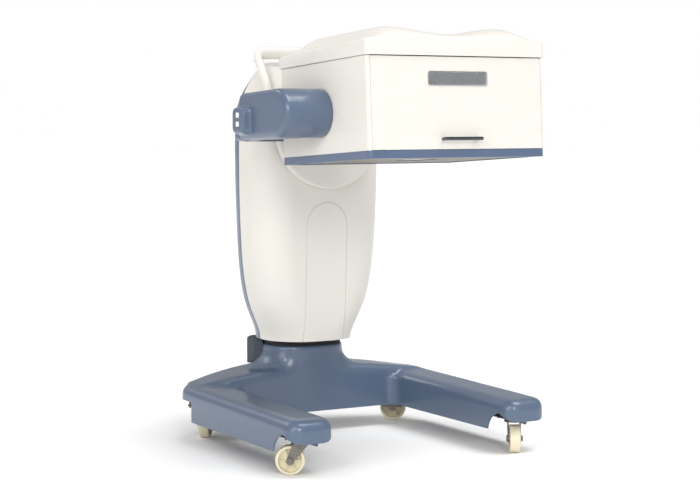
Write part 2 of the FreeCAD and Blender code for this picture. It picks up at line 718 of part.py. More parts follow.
def lift_controller():
    y = MAST_Y + SLEEVE_GAP + SLEEVE_WALL
    case = prism("XZ", y, y + 34.0, rounded(-52.0, 52.0, CONTROL_LOW, CONTROL_HIGH, 5.0))
    fins = [box((x, y + 34.0, CONTROL_LOW + 10.0), (x + 2.5, y + 41.0, CONTROL_HIGH - 10.0))
            for x in range(-44, 45, 11)]
    return fuse([case] + fins)


def drum_housing():
    rear = -(MAST_Y + SLEEVE_GAP + SLEEVE_WALL)
    body = rod((0, -98.0, DRUM_Z), (0, rear, DRUM_Z), HOUSING_R)
    body = body.cut(rod((0, -99.0, DRUM_Z), (0, ROLL_REAR, DRUM_Z), BEARING_OUT))
    return body


def roll_bearings():
    return [pipe((0, y, DRUM_Z), (0, y + 12.0, DRUM_Z), BEARING_OUT, ROLL_R + RUN)
            for y in (-98.0, ROLL_REAR - 12.0)]


def push_handle(outer):
    rods = []
    for side in (-1, 1):
        foot = Vec(side * HANDLE_FOOT[0], HANDLE_FOOT[1], HANDLE_FOOT[2])
        knee = Vec(side * HANDLE_KNEE[0], HANDLE_KNEE[1], HANDLE_KNEE[2])
        top = Vec(side * HANDLE_X, HANDLE_Y, HANDLE_Z)
        aim = Vec(side * 0.6, -0.8, 0.0)
        rods.append(rod(tuple(foot - aim * 22), tuple(foot + aim * 6), 19.0))
        rods.append(rod(tuple(foot), tuple(knee), HANDLE_R))
        rods.append(Part.makeSphere(HANDLE_R, knee))
        rods.append(rod(tuple(knee), tuple(top), HANDLE_R))
        rods.append(Part.makeSphere(HANDLE_R, top))
    lift = HANDLE_OVAL / 2 - HANDLE_R
    bar = prism("YZ", -HANDLE_X, HANDLE_X, [
        (HANDLE_Y - HANDLE_R, HANDLE_Z - lift),
        (HANDLE_Y + HANDLE_R, HANDLE_Z - lift, HANDLE_Y, HANDLE_Z - lift - HANDLE_R),
        (HANDLE_Y + HANDLE_R, HANDLE_Z + lift),
        (HANDLE_Y - HANDLE_R, HANDLE_Z + lift, HANDLE_Y, HANDLE_Z + lift + HANDLE_R),
    ])
    return fuse([bar] + rods).cut(outer)


# ---- roll joint, yoke and pod -----------------------------------------------
def drum_disc():
    front = DRUM_BACK - DRUM_THICK
    disc = rod((0, DRUM_BACK, DRUM_Z), (0, front, DRUM_Z), DRUM_R)
    rim = [edge for edge in disc.Edges if edge.BoundBox.YMax < front + 1]
    disc = disc.makeFillet(8.0, rim)
    hollow = rod((0, DRUM_BACK + 1, DRUM_Z), (0, front + DRUM_WALL, DRUM_Z), DRUM_R - DRUM_WALL)
    hollow = hollow.makeFillet(5.0, [e for e in hollow.Edges if e.BoundBox.YMax < front + 5])
    hub = rod((0, DRUM_BACK, DRUM_Z), (0, front + 1, DRUM_Z), ROLL_R + 12.0)
    bore = rod((0, DRUM_BACK + 1, DRUM_Z), (0, front - 1, DRUM_Z), ROLL_R)
    return fuse([disc.cut(hollow), hub]).cut(bore)


def roll_shaft():
    return rod((0, ROLL_REAR, DRUM_Z), (0, BEAM_REAR, DRUM_Z), ROLL_R)


def yoke_arm():
    beam = prism("XZ", BEAM_FRONT, BEAM_REAR, rounded(ARM_OUT, BEAM_RIGHT, BEAM_LOW, BEAM_HIGH, 12.0))
    tall = (PIVOT_Z - ARM_HALF_Z, PIVOT_Z + ARM_HALF_Z)
    arm = prism("YZ", ARM_OUT, ARM_IN, [
        (BEAM_REAR, BEAM_LOW + 12.0), (BEAM_REAR, BEAM_HIGH), (BEAM_FRONT, tall[1] - 12.0),
        (PIVOT_Y, tall[1]), (PIVOT_Y, tall[0], PIVOT_Y - ARM_HALF_Z, PIVOT_Z),
        (BEAM_FRONT, BEAM_LOW),
    ])
    high = WORM_Z + WORM_BLOCK_HALF
    block = box((GEAR_X - 9.0, PIVOT_Y - WORM_HALF - 11.0, WORM_Z - WORM_BLOCK_HALF),
                (ARM_IN, PIVOT_Y - WORM_HALF - 4.0, high))
    tie = box((ARM_OUT, PIVOT_Y - WORM_HALF - 11.0, WORM_Z - WORM_BLOCK_HALF),
              (ARM_IN, PIVOT_Y, PIVOT_Z - TILT_BEARING_R + 1.0))
    body = fuse([beam, arm, block, tie])
    bore = rod((ARM_OUT - 1, PIVOT_Y, PIVOT_Z), (ARM_IN + 1, PIVOT_Y, PIVOT_Z), TILT_BEARING_R)
    pilot = rod((GEAR_X, PIVOT_Y - WORM_HALF - 13.0, WORM_Z),
                (GEAR_X, PIVOT_Y, WORM_Z), 5.0 + RUN)
    return body.cut(bore).cut(pilot)


def tilt_bearings():
    bearings = []
    for x in (ARM_OUT, ARM_IN - 9.0):
        bearings.append(pipe((x, PIVOT_Y, PIVOT_Z), (x + 9.0, PIVOT_Y, PIVOT_Z),
                             TILT_BEARING_R, TILT_SHAFT_R + RUN))
    return bearings


def pod_body(inset):
    """Body round in front about the tilt shaft, tapering to the rear, with its round hub."""
    nose = HUB_OUT_R - POD_STEP - inset
    block = prism("YZ", POD_OUT + inset, ARM_IN - inset, [
        (POD_REAR - inset, POD_HIGH - inset), (PIVOT_Y, PIVOT_Z + nose),
        (PIVOT_Y, PIVOT_Z - nose, PIVOT_Y - nose, PIVOT_Z), (POD_REAR - inset, POD_LOW + inset),
    ])
    outer = [edge for edge in block.Edges if edge.BoundBox.XMax < POD_OUT + inset + 0.1]
    block = block.makeFillet(POD_EDGE_R - inset, outer)
    hub = rod((POD_OUT + HUB_START, PIVOT_Y, PIVOT_Z), (HUB_FACE - inset, PIVOT_Y, PIVOT_Z),
              HUB_OUT_R - inset)
    return fuse([block, hub])


def pod_housing(arm):
    inner = pod_body(POD_WALL)
    shell = pod_body(0.0).cut(inner)
    shaft_hole = rod((ARM_IN - 10, PIVOT_Y, PIVOT_Z), (HUB_FACE + 1, PIVOT_Y, PIVOT_Z),
                     TILT_SHAFT_R + 1.0)
    cut = shell.cut(shaft_hole).cut(arm)
    return max(cut.Solids, key=lambda solid: solid.Volume)


def tilt_motor():
    front = PIVOT_Y + WORM_HALF + 6.0
    can = rod((GEAR_X, front, WORM_Z), (GEAR_X, front + 96.0, WORM_Z), 15.0)
    foot = box((GEAR_X, front + 4.0, WORM_Z - 10.0), (ARM_OUT, front + 84.0, WORM_Z + 10.0))
    bore = rod((GEAR_X, front - 1, WORM_Z), (GEAR_X, front + 14.0, WORM_Z), 5.0 + RUN)
    return fuse([can, foot]).cut(bore)


def tilt_worm():
    """Worm with its thread drawn as rings, one to a pitch."""
    core = rod((GEAR_X, PIVOT_Y - WORM_HALF, WORM_Z), (GEAR_X, PIVOT_Y + WORM_HALF, WORM_Z),
               WORM_R - 2.5)
    ends = rod((GEAR_X, PIVOT_Y - WORM_HALF - 11.0, WORM_Z),
               (GEAR_X, PIVOT_Y + WORM_HALF + 17.0, WORM_Z), 5.0)
    rings = []
    turns = int((WORM_HALF - 2.0) / WORM_PITCH)
    for n in range(-turns, turns + 1):
        y = PIVOT_Y + WORM_PITCH * n
        rings.append(rod((GEAR_X, y - 1.5, WORM_Z), (GEAR_X, y + 1.5, WORM_Z), WORM_R))
    return fuse([core, ends] + rings)


def control_bezel():
    low_y = BOSS_Y - BOSS_HALF_Y
    high_y = BOSS_Y + BOSS_HALF_Y
    block = prism("YZ", BOSS_OUT, POD_OUT, rounded(
        low_y, high_y, BOSS_Z - BOSS_HALF_Z, BOSS_Z + BOSS_HALF_Z, 12.0))
    front = [edge for edge in block.Edges if edge.BoundBox.XMax < BOSS_OUT + 1]
    block = block.makeFillet(6.0, front)
    wells = []
    for z in BUTTON_Z:
        half = BUTTON_HALF + GAP
        wells.append(box((BOSS_OUT - 1, BOSS_Y - half, z - half),
                         (BOSS_OUT + 12.0, BOSS_Y + half, z + half)))
    return block.cut(Part.makeCompound(wells))


def button(z):
    cap = prism("YZ", BUTTON_FACE, BOSS_OUT + 9.0, rounded(
        BOSS_Y - BUTTON_HALF, BOSS_Y + BUTTON_HALF, z - BUTTON_HALF, z + BUTTON_HALF, 1.5))
    return cap.makeChamfer(0.6, [e for e in cap.Edges if e.BoundBox.XMax < BUTTON_FACE + 0.1])


# ---- head -------------------------------------------------------------------
def hood_outline(inset, corner):
    return rounded(-HEAD_HALF + inset, HEAD_HALF - inset, HEAD_FRONT + inset, HEAD_REAR - inset,
                   corner)


def hood_body():
    outer = prism("XY", HOOD_LOW, HOOD_HIGH, hood_outline(0.0, HOOD_R))
    inner = prism("XY", HOOD_LOW - 1, HOOD_HIGH + 1, hood_outline(HOOD_WALL, HOOD_R - HOOD_WALL))
    half = HEAD_HALF - DOOR_SIDE
    opening = box((-half, HEAD_FRONT - 1, HOOD_LOW - 1), (half, HEAD_FRONT + 20, HOOD_HIGH + 1))
    shaft_hole = rod((-HEAD_HALF - 1, PIVOT_Y, PIVOT_Z), (-HEAD_HALF + 5, PIVOT_Y, PIVOT_Z),
                     TILT_SHAFT_R)
    lugs = []
    for side in (-1, 1):
        x0 = side * half
        x1 = side * (HEAD_HALF - HOOD_WALL)
        lugs.append(box((min(x0, x1), HEAD_FRONT + 1.0, HINGE_Z - 12.0),
                        (max(x0, x1), HEAD_FRONT + 14.0, HOOD_HIGH)))
    return fuse([outer.cut(inner).cut(opening).cut(shaft_hole)] + lugs)


def front_door():
    half = HEAD_HALF - DOOR_SIDE - SEAM
    plate = box((-half, HEAD_FRONT, DOOR_LOW), (half, HEAD_FRONT + DOOR_THICK, DOOR_TOP))
    pin_room = rod((-half - 1, HINGE_Y, HINGE_Z), (half + 1, HINGE_Y, HINGE_Z), HINGE_R + GAP)
    knuckles = [rod((x, HINGE_Y, HINGE_Z), (x + 40.0, HINGE_Y, HINGE_Z), KNUCKLE_R)
                for x in (-half + 10.0, -20.0, half - 50.0)]
    web = box((-half + 20.0, HEAD_FRONT + DOOR_THICK, DOOR_LOW + 16.0),
              (half - 20.0, HEAD_FRONT + DOOR_THICK + 8.0, DOOR_LOW + 18.0))
    bores = [rod((x - 1, HINGE_Y, HINGE_Z), (x + 41.0, HINGE_Y, HINGE_Z), HINGE_R + RUN)
             for x in (-half + 10.0, -20.0, half - 50.0)]
    body = fuse([plate.cut(pin_room), web] + knuckles).cut(Part.makeCompound(bores))
    feet = [rod((x, HEAD_FRONT - 1, PULL_Z), (x, HEAD_FRONT + 10.0, PULL_Z), PULL_SCREW_R)
            for x in (-PULL_HALF, PULL_HALF)]
    return body.cut(Part.makeCompound(feet))


def door_hinge_pin():
    half = HEAD_HALF - DOOR_SIDE
    return rod((-half, HINGE_Y, HINGE_Z), (half, HINGE_Y, HINGE_Z), HINGE_R)


def door_handle():
    """Bar pull on two posts, with the screws that hold it through the door."""
    y = PULL_Y
    bar = rod((-PULL_LENGTH, y, PULL_Z), (PULL_LENGTH, y, PULL_Z), PULL_R)
    bar = bar.makeFillet(1.5, [e for e in bar.Edges if e.BoundBox.XLength < 0.1])
    parts = [bar]
    for x in (-PULL_HALF, PULL_HALF):
        parts.append(rod((x, y, PULL_Z), (x, HEAD_FRONT, PULL_Z), PULL_POST_R))
        parts.append(rod((x, HEAD_FRONT, PULL_Z), (x, HEAD_FRONT + DOOR_THICK, PULL_Z),
                         PULL_SCREW_R))
        parts.append(rod((x, HEAD_FRONT + DOOR_THICK, PULL_Z),
                         (x, HEAD_FRONT + DOOR_THICK + 2.5, PULL_Z), 4.0))
    return fuse(parts)


def nameplate():
    return prism("XZ", HEAD_FRONT - 2.0, HEAD_FRONT, rounded(
        -PLATE_NAME_HALF, PLATE_NAME_HALF, PLATE_NAME_Z - PLATE_NAME_H / 2,
        PLATE_NAME_Z + PLATE_NAME_H / 2, 6.0))


def wave_solid(inset):
    """Two-humped roof, rounded towards the front and the rear."""
    side = HEAD_HALF - inset
    peak = WAVE_PEAK - inset
    shoulder = WAVE_END - inset
    crest = [Vec(-side, 0, shoulder), Vec(-WAVE_PEAK_X - 50.0, 0, shoulder + 14.0),
             Vec(-WAVE_PEAK_X, 0, peak),
             Vec(-80.0, 0, (WAVE_PEAK + WAVE_VALLEY) / 2 - inset), Vec(0, 0, WAVE_VALLEY - inset),
             Vec(80.0, 0, (WAVE_PEAK + WAVE_VALLEY) / 2 - inset), Vec(WAVE_PEAK_X, 0, peak),
             Vec(WAVE_PEAK_X + 50.0, 0, shoulder + 14.0), Vec(side, 0, shoulder)]
    curve = Part.BSplineCurve()
    curve.interpolate(crest)
    low = COVER_SEAT - (5.0 if inset else 0.0)
    a, b = Vec(side, 0, low), Vec(-side, 0, low)
    wire = Part.Wire([curve.toShape(), Part.LineSegment(crest[-1], a).toShape(),
                      Part.LineSegment(a, b).toShape(), Part.LineSegment(b, crest[0]).toShape()])
    hump = Part.Face(wire).extrude(Vec(0, 1000, 0)).translated(Vec(0, -1000, 0))
    front = HEAD_FRONT + inset
    rear = HEAD_REAR - inset
    flank = prism("YZ", -400.0, 400.0, [
        (front, low), (rear, low), (rear, EAR_REAR - inset),
        (rear - 60.0, WAVE_PEAK + 4.0, rear - 18.0, 1096.0 - inset),
        (front + 70.0, WAVE_PEAK + 4.0),
        (front, EAR_FRONT - inset, front + 20.0, 1098.0 - inset),
    ])
    plan = prism("XY", low, 1200.0, hood_outline(inset, HOOD_R - inset))
    return hump.common(flank).common(plan)


def screw_places():
    return [(side, y) for side in (-1, 1) for y in (-412.0, -719.0)]


def top_cover():
    shell = wave_solid(0.0).cut(wave_solid(HOOD_WALL))
    lip_out = prism("XY", HOOD_HIGH - 10.0, COVER_SEAT, hood_outline(HOOD_WALL, HOOD_R - HOOD_WALL))
    lip_in = prism("XY", HOOD_HIGH - 11.0, COVER_SEAT + 1, hood_outline(HOOD_WALL + 2.5, 3.0))
    lip = lip_out.cut(lip_in).common(box((-300, HEAD_FRONT + 20.0, 900), (300, 0, 1200)))
    seat_out = prism("XY", HOOD_HIGH, COVER_SEAT + 4, hood_outline(0.5, HOOD_R))
    seat_in = prism("XY", HOOD_HIGH - 1, COVER_SEAT + 5, hood_outline(HOOD_WALL + 2.5, 3.0))
    seat = seat_out.cut(seat_in).common(box((-300, HEAD_FRONT + 20.0, 900), (300, 0, 1200)))
    holes = []
    for side, y in screw_places():
        holes.append(rod((side * (HEAD_HALF - 20.0), y, COVER_SEAT + 15.0),
                         (side * (HEAD_HALF + 10.0), y, COVER_SEAT + 15.0), 3.0))
    return fuse([shell, lip, seat]).cut(Part.makeCompound(holes))


def cover_screws():
    screws = []
    for side, y in screw_places():
        face = side * HEAD_HALF
        head = rod((face, y, 1051.0), (face + side * 1.2, y, 1051.0), 4.5)
        head = head.cut(rod((face + side * 0.3, y, 1051.0), (face + side * 2, y, 1051.0), 1.6))
        screws.append(fuse([head, rod((face - side * 8.0, y, 1051.0), (face, y, 1051.0), 3.0)]))
    return screws


def lower_rim():
    outer = prism("XY", RIM_LOW, HOOD_LOW, hood_outline(0.0, HOOD_R))
    inner = prism("XY", RIM_LOW - 1, HOOD_LOW + 1, hood_outline(RIM_WALL, 6.0))
    return outer.cut(inner)


def bottom_plate():
    plate = prism("XY", RIM_LOW + 2.0, RIM_LOW + 2.0 + PLATE_UNDER, hood_outline(RIM_WALL, 6.0))
    return plate.cut(rod((0, WINDOW_Y, 700), (0, WINDOW_Y, 900), WINDOW_R))


def window_glass():
    return rod((0, WINDOW_Y, RIM_LOW + 3.0), (0, WINDOW_Y, RIM_LOW + 2.0 + PLATE_UNDER), WINDOW_R)


def tilt_shaft():
    shaft = rod((GEAR_X - 14.0, PIVOT_Y, PIVOT_Z), (-HEAD_HALF + 20.0, PIVOT_Y, PIVOT_Z), TILT_SHAFT_R)
    flange = rod((-HEAD_HALF + HOOD_WALL, PIVOT_Y, PIVOT_Z),
                 (-HEAD_HALF + HOOD_WALL + 8.0, PIVOT_Y, PIVOT_Z), 34.0)
    return fuse([shaft, flange])


def tilt_wheel():
    """Worm wheel with forty shallow teeth."""
    blank = pipe((GEAR_X - GEAR_HALF, PIVOT_Y, PIVOT_Z), (GEAR_X + GEAR_HALF, PIVOT_Y, PIVOT_Z),
                 GEAR_R, TILT_SHAFT_R)
    gaps = []
    for n in range(40):
        angle = math.radians(9.0 * n)
        y = PIVOT_Y + GEAR_R * math.cos(angle)
        z = PIVOT_Z + GEAR_R * math.sin(angle)
        gaps.append(rod((GEAR_X - GEAR_HALF - 1, y, z), (GEAR_X + GEAR_HALF + 1, y, z), 1.4))
    return blank.cut(Part.makeCompound(gaps))


def optics_bench():
    plate = prism("XY", BENCH_Z, BENCH_Z + BENCH_THICK, rounded(-170.0, 170.0, -700.0, -440.0, 12.0))
    seat = RIM_LOW + 2.0 + PLATE_UNDER
    legs = [rod((x, y, seat), (x, y, BENCH_Z), 9.0) for x in (-150.0, 150.0) for y in (-680.0, -460.0)]
    bore = rod((0, WINDOW_Y, BENCH_Z - 1), (0, WINDOW_Y, BENCH_Z + 9), LENS_R)
    return fuse([plate] + legs).cut(bore)


def objective_barrel():
    low = RIM_LOW + 30.0
    return pipe((0, WINDOW_Y, low), (0, WINDOW_Y, BENCH_Z), BARREL_R, LENS_R)


def objective_lens():
    """Biconvex lens seated in the barrel's bore."""
    z = RIM_LOW + 50.0
    ball = 80.0
    sink = math.sqrt(ball * ball - LENS_R * LENS_R) - 3.0
    upper = Part.makeSphere(ball, Vec(0, WINDOW_Y, z - sink))
    lower = Part.makeSphere(ball, Vec(0, WINDOW_Y, z + sink))
    return rod((0, WINDOW_Y, z - 20), (0, WINDOW_Y, z + 20), LENS_R).common(upper).common(lower)


def led_ring():
    low = RIM_LOW + 22.0
    ring = pipe((0, WINDOW_Y, low), (0, WINDOW_Y, low + 8.0), BARREL_R + 8.0, LENS_R)
    return ring


def beam_splitter():
    glass = box((-30.0, -2.0, -40.0), (30.0, 2.0, 40.0))
    glass.rotate(Vec(0, 0, 0), Vec(1, 0, 0), 45.0)
    base = BENCH_Z + BENCH_THICK
    glass = glass.translated(Vec(0, WINDOW_Y, base + 28.0))
    return glass.common(box((-40, -800, base), (40, -400, base + 60.0)))


def sensor_camera():
    base = BENCH_Z + BENCH_THICK
    case = prism("XY", base, base + 52.0, rounded(-28.0, 28.0, -520.0, -456.0, 5.0))
    nose = pipe((0, -552.0, base + 28.0), (0, -520.0, base + 28.0), 18.0, 13.0)
    return fuse([case, nose])


def fixation_display():
    base = BENCH_Z + BENCH_THICK
    foot = box((-30.0, -690.0, base), (30.0, -664.0, base + 4.0))
    panel = box((-34.0, -674.0, base + 4.0), (34.0, -668.0, base + 56.0))
    return fuse([foot, panel])


def main_board():
    face = HEAD_REAR - HOOD_WALL
    board = box((-140.0, face - 10.0, 880.0), (140.0, face - 8.4, 1010.0))
    posts = [rod((x, face - 8.4, z), (x, face, z), 4.0) for x in (-130.0, 130.0) for z in (890.0, 1000.0)]
    chips = [box((x, face - 14.0, z), (x + w, face - 10.0, z + w))
             for x, z, w in ((-110.0, 960.0, 22.0), (-40.0, 930.0, 30.0), (50.0, 960.0, 24.0),
                             (80.0, 900.0, 26.0), (-110.0, 900.0, 18.0))]
    return fuse([board] + posts + chips)


# ---- write every piece ------------------------------------------------------
def main():
    os.makedirs("parts", exist_ok=True)
    outside = base_body(0.0)
    save("base_cover", [base_cover(outside)])
    save("base_frame", [base_frame()])
    save("mast_foot", [mast_foot()])
    save("mast_inner", [mast_inner()])
    save("neck_wiper", [neck_wiper()])
    neck_cover = rear_neck_cover(outside)
    inlet = power_inlet()
    save("rear_neck_cover", [neck_cover.cut(prism("XZ", REAR_COVER_Y - 18.0, REAR_COVER_Y, rounded(
        -14.0, 14.0, 216.0, 236.0, 3.0)))])
    save("power_inlet", [inlet])
    save("actuator_rod", [actuator_rod()])
    save("castor_plates", [castor_plate(x, y) for x, y in castor_places().values()])
    save("base_fasteners", [castor_bolt(x, y) for x, y in bolt_places()] + cover_screw_set())
    for corner, (x, y) in castor_places().items():
        way = TRAIL_WAY[corner]
        save("castor_fork_" + corner, [castor_fork(x, y, way), castor_axle(x, y, way)])
        save("castor_wheel_" + corner, [castor_wheel(x, y, way)])
    outer, inner, front, rear, panel, caps, lip = column_covers()
    save("front_shell", [front])
    save("rear_cover", [rear])
    save("access_panel", [panel])
    save("cover_caps", caps)
    save("shell_ribs", shell_ribs(inner, lip))
    save("mast_outer", [mast_outer()])
    save("actuator_tube", [actuator_tube()])
    save("actuator_motor", [actuator_motor()])
    save("lift_controller", [lift_controller()])
    save("drum_housing", [drum_housing()])
    save("roll_bearings", roll_bearings())
    save("push_handle", [push_handle(outer)])
    save("drum_disc", [drum_disc()])
    save("roll_shaft", [roll_shaft()])
    arm = yoke_arm()
    save("yoke_arm", [arm])
    save("tilt_bearings", tilt_bearings())
    save("pod_housing", [pod_housing(arm)])
    save("tilt_motor", [tilt_motor()])
    save("tilt_worm", [tilt_worm()])
    save("control_bezel", [control_bezel()])
    save("button_down", [button(BUTTON_Z[0])])
    save("button_up", [button(BUTTON_Z[1])])
    for name, maker in HEAD_PIECES.items():
        made = maker()
        save(name, [lean(piece) for piece in (made if isinstance(made, list) else [made])])


HEAD_PIECES = {
    "hood_body": hood_body, "top_cover": top_cover, "cover_screws": cover_screws,
    "lower_rim": lower_rim, "bottom_plate": bottom_plate, "window_glass": window_glass,
    "tilt_shaft": tilt_shaft, "tilt_wheel": tilt_wheel, "optics_bench": optics_bench,
    "objective_barrel": objective_barrel, "objective_lens": objective_lens,
    "led_ring": led_ring, "beam_splitter": beam_splitter, "sensor_camera": sensor_camera,
    "fixation_display": fixation_display, "main_board": main_board, "front_door": front_door,
    "door_hinge_pin": door_hinge_pin, "door_handle": door_handle, "nameplate": nameplate,
}

if __name__ == "__main__":
    main()
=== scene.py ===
"""A mobile column-stand eye-examination instrument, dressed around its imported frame.

Every piece sits where the frame says, in metres. Each sub-assembly is a class that
builds its own meshes and dresses its own nodes.
"""

import json
import logging
import math
from dataclasses import dataclass, field
from enum import Enum
from typing import Iterable, Sequence

import bmesh
import bpy
from mathutils import Matrix, Vector


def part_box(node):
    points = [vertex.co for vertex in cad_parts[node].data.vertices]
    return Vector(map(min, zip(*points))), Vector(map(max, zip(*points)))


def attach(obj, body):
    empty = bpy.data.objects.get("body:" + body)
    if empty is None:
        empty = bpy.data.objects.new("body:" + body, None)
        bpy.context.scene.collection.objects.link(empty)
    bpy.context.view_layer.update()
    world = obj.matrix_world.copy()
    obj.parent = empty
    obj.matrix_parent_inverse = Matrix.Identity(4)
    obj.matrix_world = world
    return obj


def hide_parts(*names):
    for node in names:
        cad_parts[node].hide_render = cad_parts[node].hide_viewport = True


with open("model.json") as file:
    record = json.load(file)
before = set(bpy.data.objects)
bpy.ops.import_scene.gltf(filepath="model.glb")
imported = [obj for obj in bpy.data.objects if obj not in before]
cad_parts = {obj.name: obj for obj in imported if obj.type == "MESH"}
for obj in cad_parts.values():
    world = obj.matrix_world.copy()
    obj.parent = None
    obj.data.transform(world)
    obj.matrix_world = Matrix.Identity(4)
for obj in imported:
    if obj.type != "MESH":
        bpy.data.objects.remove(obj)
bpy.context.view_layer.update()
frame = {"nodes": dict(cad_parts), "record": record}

LOG = logging.getLogger("instrument")
MM = 0.001
MERGE = 0.01 * MM
# How far the head leans back at rest.
HEAD_LEAN = math.radians(3.7)
# Strength of every finish's bump, whose height is the finish's own relief.
BUMP_STRENGTH = 0.35
# Roughness of the clear lacquers.
LACQUER_ROUGH = 0.12
# How far a brushed pattern is drawn out along its grain.
BRUSH_STRETCH = 0.04
# Least roughness that any finish drifts to.
LEAST_ROUGH = 0.02


# ---- small helpers ----------------------------------------------------------
def linear(hex_colour: str) -> tuple[float, float, float, float]:
    """Turn an sRGB hex colour into linear light.

    Args:
        hex_colour: six hex digits, with or without a leading hash.

    Returns:
        Red, green, blue and an alpha of one.
    """
    digits = hex_colour.lstrip("#")
    channels = [int(digits[place : place + 2], 16) / 255 for place in (0, 2, 4)]
    straight = [c / 12.92 if c <= 0.04045 else ((c + 0.055) / 1.055) ** 2.4 for c in channels]
    return (*straight, 1.0)


def middle(node: str) -> Vector:
    """Return the centre of a frame node's box."""
    low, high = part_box(node)
    return (low + high) / 2


def column_axis() -> Vector:
    """Return the point on the floor under the lifting mast."""
    centre = middle("mast_inner")
    return Vector((centre.x, centre.y, 0.0))


def add_node(
    tree: bpy.types.NodeTree,
    kind: str,
    settings: dict[str, object] | None = None,
    values: dict[str, object] | None = None,
    links: dict[str, bpy.types.NodeSocket] | None = None,
) -> bpy.types.Node:
    """Add one node with its settings, input values and links.

    Args:
        tree: the material's node tree.
        kind: the node's type name.
        settings: attributes of the node.
        values: input values by socket name.
        links: sockets to connect, by input name.

    Returns:
        The new node.
    """
    node = tree.nodes.new(kind)
    for name, value in (settings or {}).items():
        setattr(node, name, value)
    for name, value in (values or {}).items():
        node.inputs[name].default_value = value
    for name, socket in (links or {}).items():
        tree.links.new(socket, node.inputs[name])
    return node


# ---- finishes ---------------------------------------------------------------
class Surface(Enum):
    """How a surface was made, which sets its pattern."""

    SPRAYED = "sprayed"
    MOULDED = "moulded"
    CAST = "cast"
    BRUSHED = "brushed"
    POLISHED = "polished"


@dataclass(frozen=True)
class Finish:
    """One real material: its colours, gloss and the pattern its making leaves.

    Attributes:
        name: the maker's name of the material.
        colour: main sRGB colour.
        shade: sRGB colour that the slow variation drifts to.
        surface: how it was made.
        grain_mm: real size of the fine pattern.
        drift_mm: real size of the slow colour variation.
        relief_mm: height of the fine pattern.
        rough: mean roughness.
        rough_spread: how far roughness varies each way.
        metallic: one for bare metal.
        coat: strength of a clear lacquer.
        ior: refractive index, left at the default for metals.
        transmission: one for glass.
    """

    name: str
    colour: str
    shade: str
    surface: Surface
    grain_mm: float = 1.2
    drift_mm: float = 180.0
    relief_mm: float = 0.02
    rough: float = 0.4
    rough_spread: float = 0.05
    metallic: float = 0.0
    coat: float = 0.0
    ior: float = 1.5
    transmission: float = 0.0

    def material(self) -> bpy.types.Material:
        """Build the material once and return it ever after."""
        found = bpy.data.materials.get(self.name)
        if found is not None and found.get("made_here"):
            return found
        material = bpy.data.materials.new(self.name)
        material["made_here"] = True
        material.use_nodes = True
        tree = material.node_tree
        tree.nodes.clear()
        place = add_node(tree, "ShaderNodeTexCoord").outputs["Object"]
        stretch = (1.0, 1.0, BRUSH_STRETCH if self.surface is Surface.BRUSHED else 1.0)
        mapped = add_node(
            tree, "ShaderNodeMapping", values={"Scale": stretch}, links={"Vector": place}
        ).outputs["Vector"]
        fine = add_node(
            tree,
            "ShaderNodeTexNoise",
            values={"Scale": 1 / (self.grain_mm * MM), "Detail": 2.0, "Roughness": 0.5},
            links={"Vector": mapped},
        ).outputs["Fac"]
        slow = add_node(
            tree,
            "ShaderNodeTexNoise",
            values={"Scale": 1 / (self.drift_mm * MM), "Detail": 3.0, "Roughness": 0.55},
            links={"Vector": place},
        ).outputs["Fac"]
        colour = add_node(
            tree,
            "ShaderNodeMix",
            settings={"data_type": "RGBA"},
            links={"Factor": slow},
        )
        colour.inputs[6].default_value = linear(self.colour)
        colour.inputs[7].default_value = linear(self.shade)
        smudge = add_node(
            tree,
            "ShaderNodeMapRange",
            values={
                "From Min": 0.3,
                "From Max": 0.7,
                "To Min": max(self.rough - self.rough_spread, LEAST_ROUGH),
                "To Max": self.rough + self.rough_spread,
            },
            links={"Value": slow},
        ).outputs["Result"]
        relief = add_node(
            tree,
            "ShaderNodeBump",
            values={"Strength": BUMP_STRENGTH, "Distance": self.relief_mm * MM},
            links={"Height": fine},
        ).outputs["Normal"]
        shader = add_node(
            tree,
            "ShaderNodeBsdfPrincipled",
            values={
                "Metallic": self.metallic,
                "IOR": self.ior,
                "Coat Weight": self.coat,
                "Coat Roughness": LACQUER_ROUGH,
                "Transmission Weight": self.transmission,
            },
            links={"Base Color": colour.outputs[2], "Roughness": smudge, "Normal": relief},
        )
        add_node(
            tree, "ShaderNodeOutputMaterial", links={"Surface": shader.outputs["BSDF"]}
        )
        material.diffuse_color = linear(self.colour)
        return material


# Two-part polyurethane enamel over the glass-fibre base and pod: satin, with a faint peel.
BLUE_ENAMEL = Finish("satin_polyurethane_enamel_blue_grey", "#4D5D74", "#53637A", Surface.SPRAYED,
                     grain_mm=2.5, relief_mm=0.05, rough=0.36, rough_spread=0.04, coat=0.4)
# The same enamel on the rim's pressed steel band.
BAND_ENAMEL = Finish("stoved_enamel_blue_grey", "#4E5E78", "#566681", Surface.SPRAYED,
                     grain_mm=2.0, relief_mm=0.03, rough=0.33, coat=0.3)
# Warm white ABS covers with a fine spark-eroded texture, which keeps the highlights broad.
# The texture is drawn coarser than life so that it shows.
WHITE_ABS = Finish("warm_white_textured_abs", "#DDDAD3", "#D9D5CE", Surface.MOULDED,
                   grain_mm=1.4, relief_mm=0.03, rough=0.42, rough_spread=0.05)
# Powder coat on the push handle's steel tube, a touch glossier than the covers.
WHITE_POWDER = Finish("white_powder_coat", "#DEDBD5", "#D9D6CF", Surface.SPRAYED,
                      grain_mm=1.8, relief_mm=0.06, rough=0.38, coat=0.15)
# Polypropylene cover behind the neck, coloured charcoal as painted shade for the shade that falls behind
# the neck: matt, with a leather-like grain.
NECK_REAR_PAINTED_SHADE = Finish("neck_rear_painted_shade_charcoal", "#3A414C", "#333A44", Surface.MOULDED,
                     grain_mm=1.6, relief_mm=0.12, rough=0.62)
# Cream nylon of the wheels, slightly translucent in life, scuffed where it rolls.
CREAM_NYLON = Finish("cream_cast_nylon", "#E4DCC3", "#D3C9AA", Surface.MOULDED,
                     grain_mm=1.0, drift_mm=22.0, relief_mm=0.08, rough=0.48, rough_spread=0.1)
